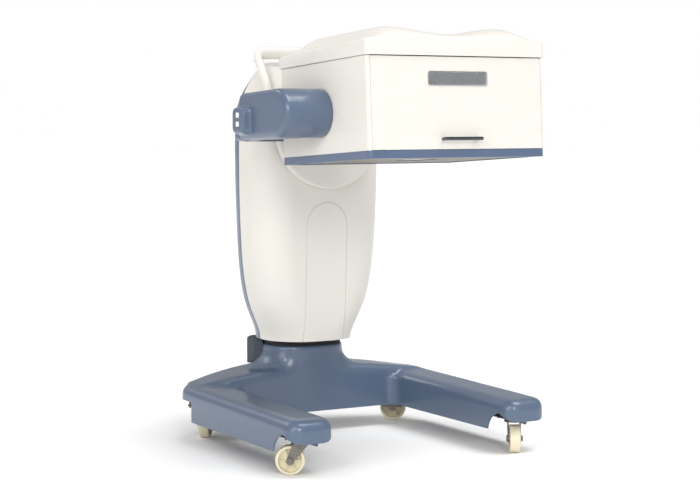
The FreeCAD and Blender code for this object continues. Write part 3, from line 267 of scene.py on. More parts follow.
# Cream polythene plugs over the cover screws.
CREAM_PLUG = Finish("cream_polythene", "#DCD3B8", "#D0C6A8", Surface.MOULDED, rough=0.5)
# Bright zinc plate on pressed steel, dulled and blotchy with age.
ZINC_PLATE = Finish("aged_zinc_plate", "#8C8983", "#64615C", Surface.CAST, grain_mm=1.5,
                    drift_mm=14.0, relief_mm=0.06, rough=0.38, rough_spread=0.14, metallic=1.0)
# Chrome plate over polished brass on the pull, toned darker than bare chrome because the pale
# room gives it nothing dark to mirror.
CHROME = Finish("polished_chrome_plate", "#4C4E52", "#6A6D70", Surface.POLISHED, grain_mm=6.0,
                relief_mm=0.002, rough=0.07, rough_spread=0.03, metallic=1.0)
# Anodised aluminium nameplate with a vertical brush.
BRUSHED_ALLOY = Finish("brushed_anodised_aluminium", "#B4B6B8", "#A6A9AC", Surface.BRUSHED,
                       grain_mm=0.5, drift_mm=40.0, relief_mm=0.02, rough=0.3, metallic=1.0)
# Nitrile wiper ring at the neck.
BLACK_NITRILE = Finish("black_nitrile_rubber", "#141517", "#1B1C1F", Surface.MOULDED,
                       grain_mm=0.9, relief_mm=0.05, rough=0.7)
# Black oxide on the cover screws.
BLACK_OXIDE = Finish("black_oxide_steel", "#1C1D20", "#2A2A2D", Surface.CAST, grain_mm=0.6,
                     rough=0.45, metallic=1.0)
# Stoved paint on the head's steel underside, coloured grey as painted shade for the shade that falls
# under the head.
UNDERSIDE_PAINTED_SHADE = Finish("underside_painted_shade_grey", "#7A736B", "#6F6860", Surface.SPRAYED, grain_mm=2.0,
                     relief_mm=0.04, rough=0.5)
# Black powder coat on the hidden steel frame.
BLACK_POWDER = Finish("black_powder_coat", "#1B1C1E", "#232427", Surface.SPRAYED, grain_mm=1.8,
                      relief_mm=0.08, rough=0.55)
# Extruded and clear-anodised mast sections, with die lines running up them.
MAST_ALLOY = Finish("clear_anodised_extrusion", "#B4B6B8", "#A9ABAE", Surface.BRUSHED,
                    grain_mm=0.8, relief_mm=0.02, rough=0.34, metallic=1.0)
# Ground and hardened shafting.
GROUND_STEEL = Finish("ground_shaft_steel", "#9FA1A4", "#8D8F93", Surface.POLISHED, grain_mm=0.7,
                      relief_mm=0.004, rough=0.2, metallic=1.0)
# Glass-filled nylon of motors, sockets and optics tubes.
BLACK_NYLON = Finish("black_glass_filled_nylon", "#17181A", "#202124", Surface.MOULDED,
                     grain_mm=0.8, relief_mm=0.05, rough=0.55)
# Die-cast controller case, bead blasted.
CAST_ALLOY = Finish("bead_blasted_die_casting", "#8F9296", "#82858A", Surface.CAST, grain_mm=0.7,
                    relief_mm=0.04, rough=0.5, metallic=1.0)
# Phosphor bronze worm wheel, freshly hobbed.
BRONZE = Finish("phosphor_bronze", "#A9773D", "#96672F", Surface.CAST, grain_mm=0.8, rough=0.32,
                metallic=1.0)
# Solder mask over fibreglass board.
SOLDER_MASK = Finish("green_solder_mask", "#0F4A2A", "#124F30", Surface.MOULDED, grain_mm=0.8,
                     rough=0.35, coat=0.4)
# Liquid-crystal display glass, switched off.
DARK_DISPLAY = Finish("dark_display_glass", "#0B0D12", "#10131A", Surface.POLISHED, grain_mm=5.0,
                      relief_mm=0.001, rough=0.08)
# Coated optical glass of the window, lens and splitter.
OPTICAL_GLASS = Finish("coated_optical_glass", "#E8F1F4", "#DDEBF0", Surface.POLISHED,
                       grain_mm=8.0, relief_mm=0.0005, rough=0.03, rough_spread=0.01,
                       ior=1.52, transmission=0.9)
# Glossy white acetal key caps.
WHITE_ACETAL = Finish("white_acetal", "#F6F6F4", "#EFEFEC", Surface.MOULDED, grain_mm=1.0,
                      relief_mm=0.01, rough=0.25)

SLOT_FINISH: dict[str, Finish] = {
    "paint_blue": BLUE_ENAMEL,
    "dark_cover": NECK_REAR_PAINTED_SHADE,
    "shell_white": WHITE_ABS,
    "handle_white": WHITE_POWDER,
    "cap_cream": CREAM_PLUG,
    "button_white": WHITE_ACETAL,
    "under_grey": UNDERSIDE_PAINTED_SHADE,
    "steel_frame": BLACK_POWDER,
    "mast_alloy": MAST_ALLOY,
    "steel_bright": GROUND_STEEL,
    "zinc_steel": ZINC_PLATE,
    "nylon_wheel": CREAM_NYLON,
    "rubber_black": BLACK_NITRILE,
    "black_plastic": BLACK_NYLON,
    "alloy_case": CAST_ALLOY,
    "bronze_gear": BRONZE,
    "chrome_pull": CHROME,
    "screw_dark": BLACK_OXIDE,
    "clear_glass": OPTICAL_GLASS,
    "board_green": SOLDER_MASK,
    "display_dark": DARK_DISPLAY,
}
NODE_FINISH: dict[str, Finish] = {"lower_rim": BAND_ENAMEL, "nameplate": BRUSHED_ALLOY}


# ---- mesh helpers -----------------------------------------------------------
def soften(shape: bmesh.types.BMesh, edges: Iterable[bmesh.types.BMEdge], size: float,
           segments: int = 5) -> None:
    """Round the given edges.

    Args:
        shape: the mesh being worked on.
        edges: edges to round.
        size: width of the rounding.
        segments: facets across it.
    """
    bmesh.ops.bevel(shape, geom=list(edges), offset=size, segments=segments, profile=0.5,
                    affect="EDGES", material=-1)


def block(low: Sequence[float], high: Sequence[float]) -> bmesh.types.BMesh:
    """Return a plain box between two corners, ready to be shaped.

    Args:
        low: lowest corner.
        high: highest corner.

    Returns:
        A mesh of six faces.
    """
    shape = bmesh.new()
    bmesh.ops.create_cube(shape, size=1.0)
    size = Vector(high) - Vector(low)
    bmesh.ops.scale(shape, vec=size, verts=shape.verts)
    bmesh.ops.translate(shape, vec=(Vector(high) + Vector(low)) / 2, verts=shape.verts)
    return shape


def prism(outline: Sequence[Sequence[float]], across: float) -> bmesh.types.BMesh:
    """Push a flat outline sideways along x into a closed solid.

    Args:
        outline: corners of the outline, in order.
        across: how far it is pushed.

    Returns:
        The solid, with its faces pointing outwards.
    """
    shape = bmesh.new()
    face = shape.faces.new([shape.verts.new(corner) for corner in outline])
    grown = bmesh.ops.extrude_face_region(shape, geom=[face])
    moved = [g for g in grown["geom"] if isinstance(g, bmesh.types.BMVert)]
    bmesh.ops.translate(shape, vec=(across, 0.0, 0.0), verts=moved)
    bmesh.ops.recalc_face_normals(shape, faces=shape.faces)
    return shape


def upright(edge: bmesh.types.BMEdge, axis: int) -> bool:
    """Tell whether an edge runs along one axis."""
    run = edge.verts[0].co - edge.verts[1].co
    return all(abs(run[other]) < 0.1 * MM for other in range(3) if other != axis)


def bare_object(name: str, shapes: Iterable[bmesh.types.BMesh]) -> bpy.types.Object:
    """Join shapes into one object at the origin.

    Args:
        name: the object's name.
        shapes: meshes to join, freed afterwards.

    Returns:
        The linked object.
    """
    whole = bmesh.new()
    for shape in shapes:
        bmesh.ops.recalc_face_normals(shape, faces=shape.faces)
        spare = bpy.data.meshes.new("spare")
        shape.to_mesh(spare)
        shape.free()
        whole.from_mesh(spare)
        bpy.data.meshes.remove(spare)
    mesh = bpy.data.meshes.new(name)
    whole.to_mesh(mesh)
    whole.free()
    piece = bpy.data.objects.new(name, mesh)
    bpy.context.collection.objects.link(piece)
    return piece


def settle(piece: bpy.types.Object) -> None:
    """Apply every modifier of a piece to its mesh."""
    graph = bpy.context.evaluated_depsgraph_get()
    done = bpy.data.meshes.new_from_object(piece.evaluated_get(graph))
    piece.modifiers.clear()
    piece.data = done


def melt(piece: bpy.types.Object, voxel: float, passes: int) -> None:
    """Unite overlapping solids into one skin and relax its inner corners.

    Args:
        piece: object whose mesh holds closed solids.
        voxel: size of the new faces.
        passes: how often the skin is relaxed.
    """
    union = piece.modifiers.new("union", "REMESH")
    union.mode = "VOXEL"
    union.voxel_size = voxel
    relax = piece.modifiers.new("relax", "SMOOTH")
    relax.factor = 0.5
    relax.iterations = passes
    settle(piece)


def carve(piece: bpy.types.Object, cutter: bpy.types.Object) -> None:
    """Cut one closed solid out of another and throw the cutter away."""
    cut = piece.modifiers.new("cut", "BOOLEAN")
    cut.operation = "DIFFERENCE"
    cut.solver = "MANIFOLD"
    cut.object = cutter
    settle(piece)
    bpy.data.objects.remove(cutter)


def hollow_out(piece: bpy.types.Object, wall: float) -> None:
    """Leave only a wall of the given thickness of a closed solid."""
    hollow = piece.copy()
    hollow.data = piece.data.copy()
    bpy.context.collection.objects.link(hollow)
    shrink = hollow.modifiers.new("shrink", "DISPLACE")
    shrink.strength = -wall
    shrink.mid_level = 0.0
    settle(hollow)
    carve(piece, hollow)


def finish_piece(piece: bpy.types.Object, finish: Finish, body: str,
                 stands_for: Sequence[str] = (), crease_deg: float = 35.0) -> bpy.types.Object:
    """Shade, dress and mount a finished piece.

    Args:
        piece: object at the origin with its place in its mesh.
        finish: its material.
        body: the frame body it moves with.
        stands_for: frame nodes that it replaces.
        crease_deg: edges sharper than this stay crisp.

    Returns:
        The same piece.
    """
    piece.data.materials.clear()
    piece.data.materials.append(finish.material())
    piece.data.polygons.foreach_set("material_index", [0] * len(piece.data.polygons))
    piece.data.shade_smooth()
    piece.data.set_sharp_from_angle(angle=math.radians(crease_deg))
    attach(piece, body)
    if stands_for:
        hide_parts(*stands_for)
    return piece


def lean_head(shape: bmesh.types.BMesh) -> None:
    """Turn a level shape to the head's resting lean about the tilt shaft."""
    pivot = middle("tilt_shaft")
    bmesh.ops.rotate(shape, cent=pivot, matrix=Matrix.Rotation(-HEAD_LEAN, 3, "X"),
                     verts=shape.verts)


# ---- base -------------------------------------------------------------------
@dataclass
class BaseCover:
    """Glass-fibre cover: two legs, a humped cross member and the flared neck.

    Attributes:
        leg_width: width of one leg.
        nose_round: plan radius of a leg's nose.
        top_round: radius along the top edges.
        leg_top: height of the legs at the rear.
        leg_drop: how much lower the legs are at the nose.
        tail_round: plan radius of a leg's rear outer corner.
        hump_mm: height of the cross member at its middle.
        hump_fall_mm: how far the cross member falls towards its ends.
        cross_round: radius along the cross member's edges.
        web_round: plan radius of the inner corners.
        web_top: height of the webs in those corners.
        neck_round: plan radius of the neck's corners.
        flare_wide: how far the neck spreads at its foot.
        flare_tall: height of that spread.
        shoulder: height at which the spread begins.
        wall: thickness of the moulding.
        voxel: size of the skin's faces.
    """

    leg_width: float = 130 * MM
    nose_round: float = 40 * MM
    top_round: float = 27 * MM
    leg_top: float = 158 * MM
    leg_drop: float = 11 * MM
    tail_round: float = 58 * MM
    hump_mm: float = 192
    hump_fall_mm: float = 32
    cross_round: float = 22 * MM
    web_round: float = 36 * MM
    web_top: float = 146 * MM
    neck_round: float = 78 * MM
    flare_wide: float = 88 * MM
    flare_tall: float = 56 * MM
    shoulder: float = 236 * MM
    wall: float = 4 * MM
    voxel: float = 4 * MM
    low: Vector = field(default_factory=lambda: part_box("base_cover")[0])
    high: Vector = field(default_factory=lambda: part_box("base_cover")[1])
    neck_low: Vector = field(default_factory=lambda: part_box("neck_wiper")[0])
    neck_high: Vector = field(default_factory=lambda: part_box("neck_wiper")[1])

    def leg(self, side: int) -> bmesh.types.BMesh:
        """Shape one leg, reaching to the floor for now.

        Args:
            side: -1 or 1.

        Returns:
            The leg as a closed solid.
        """
        outer = self.high.x if side > 0 else self.low.x
        inner = outer - side * self.leg_width
        rear = self.rear_of_leg()
        shape = block((min(outer, inner), self.low.y, 0.0), (max(outer, inner), rear, self.leg_top))
        for vert in shape.verts:
            if vert.co.z > MM and vert.co.y < self.low.y + MM:
                vert.co.z -= self.leg_drop
        noses = [e for e in shape.edges if upright(e, 2) and e.verts[0].co.y < self.low.y + MM]
        soften(shape, noses, self.nose_round, 8)
        tail = [e for e in shape.edges if upright(e, 2) and e.verts[0].co.y > rear - MM
                and abs(e.verts[0].co.x - outer) < MM]
        soften(shape, tail, self.tail_round, 8)
        rim = [e for e in shape.edges if min(v.co.z for v in e.verts) > 100 * MM]
        soften(shape, rim, self.top_round, 6)
        return shape

    def rear_of_leg(self) -> float:
        """Return the y of a leg's rear end."""
        return column_axis().y + 25 * MM

    def front_of_cross(self) -> float:
        """Return the y of the cross member's front face."""
        return self.neck_low.y - 5 * MM

    def cross(self) -> bmesh.types.BMesh:
        """Shape the cross member: humped in front view and bowed at the rear."""
        axis = column_axis()
        half = self.high.x - axis.x - 30 * MM
        front, back = self.front_of_cross(), self.high.y
        shape = block((axis.x - half, front, 0.0), (axis.x + half, back, 190 * MM))
        long_edges = [e for e in shape.edges if upright(e, 0)]
        bmesh.ops.subdivide_edges(shape, edges=long_edges, cuts=31)
        for vert in shape.verts:
            share = min(abs(vert.co.x - axis.x) / half, 1.0)
            if vert.co.z > MM:
                vert.co.z = (self.hump_mm - self.hump_fall_mm * share ** 1.8) * MM
            if vert.co.y > axis.y:
                vert.co.y = back - (back - self.rear_of_leg() + 2 * MM) * share**2
        rim = [e for e in shape.edges
               if min(v.co.z for v in e.verts) > 100 * MM and abs(e.verts[0].co.x - e.verts[1].co.x) > MM
               and len(e.link_faces) == 2 and e.calc_face_angle(0) > 0.6]
        soften(shape, rim, self.cross_round, 5)
        return shape

    def inner_corner(self, side: int) -> bmesh.types.BMesh:
        """Fill the corner between a leg and the cross member with a round web.

        Args:
            side: -1 or 1.

        Returns:
            A closed solid with a concave face.
        """
        radius = self.web_round
        corner_x = (self.high.x if side > 0 else self.low.x) - side * self.leg_width
        corner_y = self.front_of_cross()
        shape = block((-20 * MM, -20 * MM, 0.0), (radius, radius, self.web_top))
        notch = bare_object("notch", [self.drum(radius)])
        web = bare_object("web", [shape])
        carve(web, notch)
        made = bmesh.new()
        made.from_mesh(web.data)
        bpy.data.objects.remove(web)
        bmesh.ops.scale(made, vec=(-side, -1.0, 1.0), verts=made.verts)
        bmesh.ops.translate(made, vec=(corner_x, corner_y, 0.0), verts=made.verts)
        bmesh.ops.recalc_face_normals(made, faces=made.faces)
        return made

    def drum(self, radius: float) -> bmesh.types.BMesh:
        """Return the upright cylinder that cuts the web's round face."""
        shape = bmesh.new()
        bmesh.ops.create_cone(shape, cap_ends=True, segments=64, radius1=radius, radius2=radius,
                              depth=1.0)
        bmesh.ops.translate(shape, vec=(radius, radius, 0.0), verts=shape.verts)
        return shape

    def neck(self) -> bmesh.types.BMesh:
        """Shape the neck, spreading in a quarter ellipse towards its foot."""
        axis = column_axis()
        front = self.front_of_cross()
        half, back = self.neck_high.x - axis.x + 5 * MM, self.neck_high.y + 5 * MM
        shape = bmesh.new()
        corners = [(-half, front), (half, front), (half, back), (-half, back)]
        ring = [shape.verts.new((axis.x + x, y, self.high.z)) for x, y in corners]
        shape.faces.new(ring)
        bmesh.ops.bevel(shape, geom=list(shape.verts), offset=self.neck_round, segments=12, profile=0.5,
                        affect="VERTICES", material=-1)
        top = list(shape.faces)
        steps = 14
        spread_before = 0.0
        for step in range(steps + 1):
            angle = math.radians(80.0 * step / steps)
            height = self.shoulder - self.flare_tall * math.sin(angle)
            spread = self.flare_wide * (1 - math.cos(angle))
            grown = bmesh.ops.extrude_face_region(shape, geom=top)
            verts = [g for g in grown["geom"] if isinstance(g, bmesh.types.BMVert)]
            top = [g for g in grown["geom"] if isinstance(g, bmesh.types.BMFace)]
            widen = (half + spread) / (half + spread_before)
            deepen = (back - front + 0.16 * spread) / (back - front + 0.16 * spread_before)
            pivot = Matrix.Translation((-axis.x, -front, 0.0))
            bmesh.ops.scale(shape, vec=(widen, deepen, 1.0), space=pivot, verts=verts)
            for vert in verts:
                vert.co.z = height
            spread_before = spread
        down = bmesh.ops.extrude_face_region(shape, geom=top)
        for vert in (g for g in down["geom"] if isinstance(g, bmesh.types.BMVert)):
            vert.co.z = 120 * MM
        return shape

    def arch_cutter(self) -> bpy.types.Object:
        """Make the solid that opens the underside and the castor arches."""
        axis = column_axis()
        profile = [(-900, -50), (-900, 0), (-900, 60), (-700, 67), (-656, 88), (-632, 99),
                   (-612, 109), (-598, 107), (-585, 101), (-572, 91), (-563, 78), (-558.5, 68),
                   (-557, 60), (-79, 60), (-79, 106), (-77, 113), (-71, 116), (300, 116), (300, -50)]
        reach = 0.6
        outline = [(axis.x - reach, axis.y + y * MM, z * MM) for y, z in profile]
        return bare_object("arches", [prism(outline, 2 * reach)])

    def well_cutter(self) -> bpy.types.Object:
        """Make the solid that opens the neck for the mast."""
        low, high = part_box("mast_inner")
        room = Vector((21 * MM, 11 * MM, 0.0))
        shape = block((low - room).to_tuple()[:2] + (0.2,), (high + room).to_tuple()[:2] + (0.3,))
        return bare_object("mast_well", [shape])

    def build(self) -> list[bpy.types.Object]:
        """Model the cover and return it as one piece."""
        shapes = [self.leg(-1), self.leg(1), self.cross(), self.inner_corner(-1),
                  self.inner_corner(1), self.neck()]
        cover = bare_object("base_moulding", shapes)
        melt(cover, self.voxel, 18)
        hollow_out(cover, self.wall)
        carve(cover, self.arch_cutter())
        carve(cover, self.well_cutter())
        finish_piece(cover, BLUE_ENAMEL, "base", ["base_cover"], 50.0)
        return [cover]


# ---- pod on the side arm ----------------------------------------------------
@dataclass
class Pod:
    """Drive pod round the tilt shaft, with the key boss on its outer face.

    Attributes:
        wall: thickness of the moulding.
        edge_round: rounding of the long outer edges.
        tail_above: height of the square end above the tilt shaft.
        tail_below: depth of the square end below the tilt shaft.
        voxel: size of the skin's faces.
    """

    wall: float = 3.5 * MM
    edge_round: float = 13 * MM
    tail_above: float = 50 * MM
    tail_below: float = 70 * MM
    voxel: float = 2.2 * MM
    low: Vector = field(default_factory=lambda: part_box("pod_housing")[0])
    high: Vector = field(default_factory=lambda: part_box("pod_housing")[1])

    def pivot(self) -> Vector:
        """Return the tilt shaft's middle."""
        return middle("tilt_bearings")

    def hub_radius(self) -> float:
        """Return the radius of the hub, which is half the pod's front height."""
        return self.high.z - self.pivot().z

    def body(self) -> bmesh.types.BMesh:
        """Shape the long body: round in front about the shaft, square behind."""
        centre, radius = self.pivot(), self.hub_radius()
        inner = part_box("yoke_arm")[0].x + 28 * MM
        steps = 20
        ring = []
        for step in range(steps + 1):
            angle = math.radians(90.0 + 180.0 * step / steps)
            y = centre.y + radius * math.cos(angle)
            z = centre.z + radius * math.sin(angle)
            ring.append((self.low.x, y, z))
        for z in (centre.z - self.tail_below, centre.z + self.tail_above):
            ring.append((self.low.x, self.high.y, z))
        shape = prism(ring, inner - self.low.x)
        backs = [e for e in shape.edges if upright(e, 0) and e.verts[0].co.y > self.high.y - MM]
        soften(shape, backs, 16 * MM, 5)
        outer = [e for e in shape.edges if max(v.co.x for v in e.verts) < self.low.x + 0.1 * MM]
        soften(shape, outer, self.edge_round, 6)
        return shape

    def hub(self) -> bmesh.types.BMesh:
        """Shape the round hub that meets the head's side."""
        centre, radius = self.pivot(), self.hub_radius()
        shape = bmesh.new()
        length = self.high.x - (self.low.x + 45 * MM)
        bmesh.ops.create_cone(shape, cap_ends=True, segments=96, radius1=radius - 1 * MM,
                              radius2=radius, depth=length)
        bmesh.ops.rotate(shape, cent=(0, 0, 0), matrix=Matrix.Rotation(math.pi / 2, 3, "Y"),
                         verts=shape.verts)
        bmesh.ops.translate(shape, vec=(self.high.x - length / 2, centre.y, centre.z),
                            verts=shape.verts)
        return shape

    def boss(self) -> bmesh.types.BMesh:
        """Shape the key boss, wider where it grows out of the body."""
        low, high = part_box("control_bezel")
        shape = block((low.x, low.y, low.z), (high.x + 6 * MM, high.y, high.z))
        flare = [v for v in shape.verts if v.co.x > high.x]
        centre = (low + high) / 2
        bmesh.ops.scale(shape, vec=(1.0, 1.15, 1.3), verts=flare,
                        space=Matrix.Translation((0.0, -centre.y, -centre.z)))
        soften(shape, [e for e in shape.edges if max(v.co.x for v in e.verts)
                       - min(v.co.x for v in e.verts) > MM], 13 * MM, 5)
        return shape

    def build(self) -> list[bpy.types.Object]:
        """Model the pod as one blended moulding with its openings."""
        pod = bare_object("pod_moulding", [self.body(), self.hub(), self.boss()])
        melt(pod, self.voxel, 9)
        hollow_out(pod, self.wall)
        for node in ("button_up", "button_down"):
            low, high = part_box(node)
            room = Vector((20 * MM, 0.6 * MM, 0.6 * MM))
            carve(pod, bare_object("key_well", [block(low - room, high + room)]))
        low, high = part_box("tilt_bearings")
        arm_low, arm_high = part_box("yoke_arm")
        passage = block((arm_low.x - 1 * MM, self.high.y - 40 * MM, arm_low.z - 2 * MM),
                        (arm_low.x + 29 * MM, self.high.y + 20 * MM, high.z + 30 * MM))
        carve(pod, bare_object("arm_passage", [passage]))
        finish_piece(pod, BLUE_ENAMEL, "yoke", ["pod_housing", "control_bezel"],
                     40.0)
        return [pod]


# ---- push handle ------------------------------------------------------------
@dataclass
class PushHandle:
    """Bent tube across the top of the column, flattened to an oval along the bar.

    Attributes:
        tube: radius of the arms.
        oval: how much taller than round the bar is.
    """

    tube: float = 12.3 * MM
    oval: float = 1.42
    low: Vector = field(default_factory=lambda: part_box("push_handle")[0])
    high: Vector = field(default_factory=lambda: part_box("push_handle")[1])

    def route(self) -> list[Vector]:
        """Return the tube's centre line from one foot round to the other."""
        axis = column_axis()
        reach = (self.high.x - self.low.x) / 2 - self.tube
        top = self.high.z - self.tube * self.oval
        bar_y = self.high.y - self.tube
        side = [
            Vector((reach - 20 * MM, -112 * MM, 925 * MM)),
            Vector((reach - 4 * MM, -126 * MM, 953 * MM)),
            Vector((reach, -119 * MM, 985 * MM)),
            Vector((reach, -96 * MM, 1020 * MM)),
            Vector((reach, -74 * MM, 1050 * MM)),
            Vector((reach - 1 * MM, -62 * MM, 1070 * MM)),
            Vector((reach - 16 * MM, bar_y - axis.y, top)),
            Vector((reach - 60 * MM, bar_y - axis.y, top)),
        ]
        left = [Vector((-p.x, p.y, p.z)) for p in side]
        return [p + Vector((axis.x, axis.y, 0.0)) for p in left + side[::-1]]

    def build(self) -> list[bpy.types.Object]:
        """Sweep the tube, flatten the bar and add the two feet."""
        curve = bpy.data.curves.new("push_tube", "CURVE")
        curve.dimensions = "3D"
        points = self.route()
        spline = curve.splines.new("NURBS")
        spline.points.add(len(points) - 1)
        for point, place in zip(spline.points, points):
            point.co = (*place, 1.0)
        spline.order_u = 4
        spline.use_endpoint_u = True
        spline.resolution_u = 10
        curve.bevel_depth = self.tube
        curve.bevel_resolution = 8
        curve.use_fill_caps = True
        sweep = bpy.data.objects.new("push_tube", curve)
        bpy.context.collection.objects.link(sweep)
        mesh = bpy.data.meshes.new_from_object(
            sweep.evaluated_get(bpy.context.evaluated_depsgraph_get()))
        bpy.data.objects.remove(sweep)
        shape = bmesh.new()
        shape.from_mesh(mesh)
        bmesh.ops.remove_doubles(shape, verts=shape.verts, dist=MERGE)
        axis, top = column_axis(), self.high.z - self.tube * self.oval
        for vert in shape.verts:
            share = min(max((vert.co.z - top + 45 * MM) / (30 * MM), 0.0), 1.0)
            vert.co.z += (vert.co.z - top) * (self.oval - 1.0) * share * (vert.co.z > top - 20 * MM)
        bmesh.ops.recalc_face_normals(shape, faces=shape.faces)
        feet = [self.foot(side, axis) for side in (-1, 1)]
        handle = bare_object("push_handle_tube", [shape] + feet)
        finish_piece(handle, WHITE_POWDER, "column", ["push_handle"], 40.0)
        return [handle]

    def foot(self, side: int, axis: Vector) -> bmesh.types.BMesh:
        """Shape the domed flange where one arm meets the shell.

        Args:
            side: -1 or 1.
            axis: the foot of the column.

        Returns:
            A closed, rounded disc.
        """
        shape = bmesh.new()
        bmesh.ops.create_cone(shape, cap_ends=True, segments=40, radius1=18.5 * MM,
                              radius2=15 * MM, depth=20 * MM)
        soften(shape, [e for e in shape.edges if min(v.co.z for v in e.verts) > 5 * MM], 3 * MM, 3)
        aim = Vector((side * 0.6, -0.8, 0.0)).to_track_quat("Z", "Y").to_matrix()
        bmesh.ops.rotate(shape, cent=(0, 0, 0), matrix=aim, verts=shape.verts)
        place = Vector((side * 158 * MM, -112 * MM, 940 * MM)) + axis
        bmesh.ops.translate(shape, vec=place, verts=shape.verts)
        return shape


# ---- head -------------------------------------------------------------------
@dataclass
class HeadTop:
    """Vacuum-formed roof of the head: two humps between low side ears.

    Attributes:
        half: half width of the head.
        seat: height of the seam under the roof.
        peak: height of the humps.
        valley: height of the dip between them.
        ear_front: height of the side edges at the front.
        ear_rear: height of the side edges at the rear.
        peak_x: how far out the humps lie.
        wall: thickness of the forming.
        front: place of the front edge from the column.
        rear: place of the rear edge from the column.
        rise_front: depth over which the roof rises from its front edge.
        rise_rear: the same from its rear edge.
    """

    half: float = 260 * MM
    seat: float = 1036 * MM
    peak: float = 1109.5 * MM
    valley: float = 1091 * MM
    ear_front: float = 1074 * MM
    ear_rear: float = 1065 * MM
    peak_x: float = 165 * MM
    wall: float = 3.5 * MM
    front: float = -800 * MM
    rear: float = -357 * MM
    rise_front: float = 85 * MM
    rise_rear: float = 70 * MM

    def crest(self, x: float) -> float:
        """Return the roof's height in front view.

        Args:
            x: place across the head.

        Returns:
            Height above the floor.
        """
        out = abs(x)
        if out < self.peak_x:
            share = 0.5 - 0.5 * math.cos(math.pi * out / self.peak_x)
            return self.valley + (self.peak - self.valley) * share
        share = 0.5 + 0.5 * math.cos(math.pi * (out - self.peak_x) / (self.half - self.peak_x))
        edge = (self.ear_front + self.ear_rear) / 2
        return edge + (self.peak - edge) * share

    def height(self, x: float, y: float) -> float:
        """Return the roof's height at a point.

        Args:
            x: place across the head.
            y: place along it, from the column.

        Returns:
            Height above the floor.
        """
        along = (y - self.front) / (self.rear - self.front)
        ear = self.ear_front + (self.ear_rear - self.ear_front) * along
        fore = min((y - self.front) / self.rise_front, 1.0)
        aft = min((self.rear - y) / self.rise_rear, 1.0)
        swell = math.sqrt(max(1 - (1 - fore) ** 2, 0.0)) * math.sqrt(max(1 - (1 - aft) ** 2, 0.0))
        edge = (self.ear_front + self.ear_rear) / 2
        return ear + (self.crest(x) - edge) * swell * (self.peak - ear) / (self.peak - edge)

    def build(self) -> list[bpy.types.Object]:
        """Raise a grid to the roof's form, drop its skirt and give it a wall."""
        axis = column_axis()
        shape = bmesh.new()
        bmesh.ops.create_grid(shape, x_segments=72, y_segments=56, size=0.5)
        width, depth = 2 * self.half, self.rear - self.front
        for vert in shape.verts:
            x = vert.co.x * width
            share = vert.co.y + 0.5
            eased = 0.5 - 0.5 * math.cos(math.pi * share)
            y = self.front + depth * (0.45 * share + 0.55 * eased)
            vert.co = Vector((x, y, self.height(x, y)))
        border = [e for e in shape.edges if e.is_boundary]
        skirt = bmesh.ops.extrude_edge_only(shape, edges=border)
        for vert in (g for g in skirt["geom"] if isinstance(g, bmesh.types.BMVert)):
            vert.co.z = self.seat
        posts = [e for e in shape.edges if upright(e, 2) and e.calc_length() > 20 * MM
                 and abs(abs(e.verts[0].co.x) - self.half) < MM
                 and min(abs(e.verts[0].co.y - self.front), abs(e.verts[0].co.y - self.rear)) < MM]
        soften(shape, posts, 7 * MM, 5)
        rim = [e for e in shape.edges if e.is_manifold and e.calc_face_angle(0) > 0.9
               and not upright(e, 2)]
        soften(shape, rim, 3.5 * MM, 4)
        bmesh.ops.recalc_face_normals(shape, faces=shape.faces)
        summit = max(shape.faces, key=lambda f: f.calc_center_median().z)
        if summit.normal.z < 0:
            bmesh.ops.reverse_faces(shape, faces=shape.faces)
        bmesh.ops.translate(shape, vec=axis, verts=shape.verts)
        lean_head(shape)
        roof = bare_object("roof_forming", [shape])
        shell = roof.modifiers.new("wall", "SOLIDIFY")
        shell.thickness = self.wall
        shell.offset = -1.0
        settle(roof)
        finish_piece(roof, WHITE_ABS, "head", ["top_cover"], 45.0)
        return [roof]


@dataclass
class Nameplate:
    """Plain brushed badge: a bevelled rim round a sunken blank field.

    Attributes:
        rim: width of the rim.
        sink: depth of the field.
        half_tall: half the badge's height.
        corner: radius of its corners.
    """

    rim: float = 2.4 * MM
    sink: float = 0.7 * MM
    half_tall: float = 17.8 * MM
    corner: float = 6 * MM

    def build(self) -> list[bpy.types.Object]:
        """Model the blank badge in place of the maker's lettering."""
        low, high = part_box("nameplate")
        centre = (low + high) / 2
        half_x = (high.x - low.x) / 2
        shape = block((-half_x, -1.0 * MM, -self.half_tall), (half_x, 1.0 * MM, self.half_tall))
        soften(shape, [e for e in shape.edges if upright(e, 1)], self.corner, 6)
        face = min(shape.faces, key=lambda f: f.calc_center_median().y)
        soften(shape, face.edges, 0.5 * MM, 2)
        face = min(shape.faces, key=lambda f: f.calc_center_median().y)
        bmesh.ops.inset_region(shape, faces=[face], thickness=self.rim)
        bmesh.ops.inset_region(shape, faces=[face], thickness=self.sink, depth=-self.sink)
        bmesh.ops.rotate(shape, cent=(0, 0, 0), matrix=Matrix.Rotation(-HEAD_LEAN, 3, "X"),
                         verts=shape.verts)
        bmesh.ops.translate(shape, vec=centre, verts=shape.verts)
        plate = bare_object("blank_badge", [shape])
        finish_piece(plate, BRUSHED_ALLOY, "door", ["nameplate"], 30.0)
        return [plate]


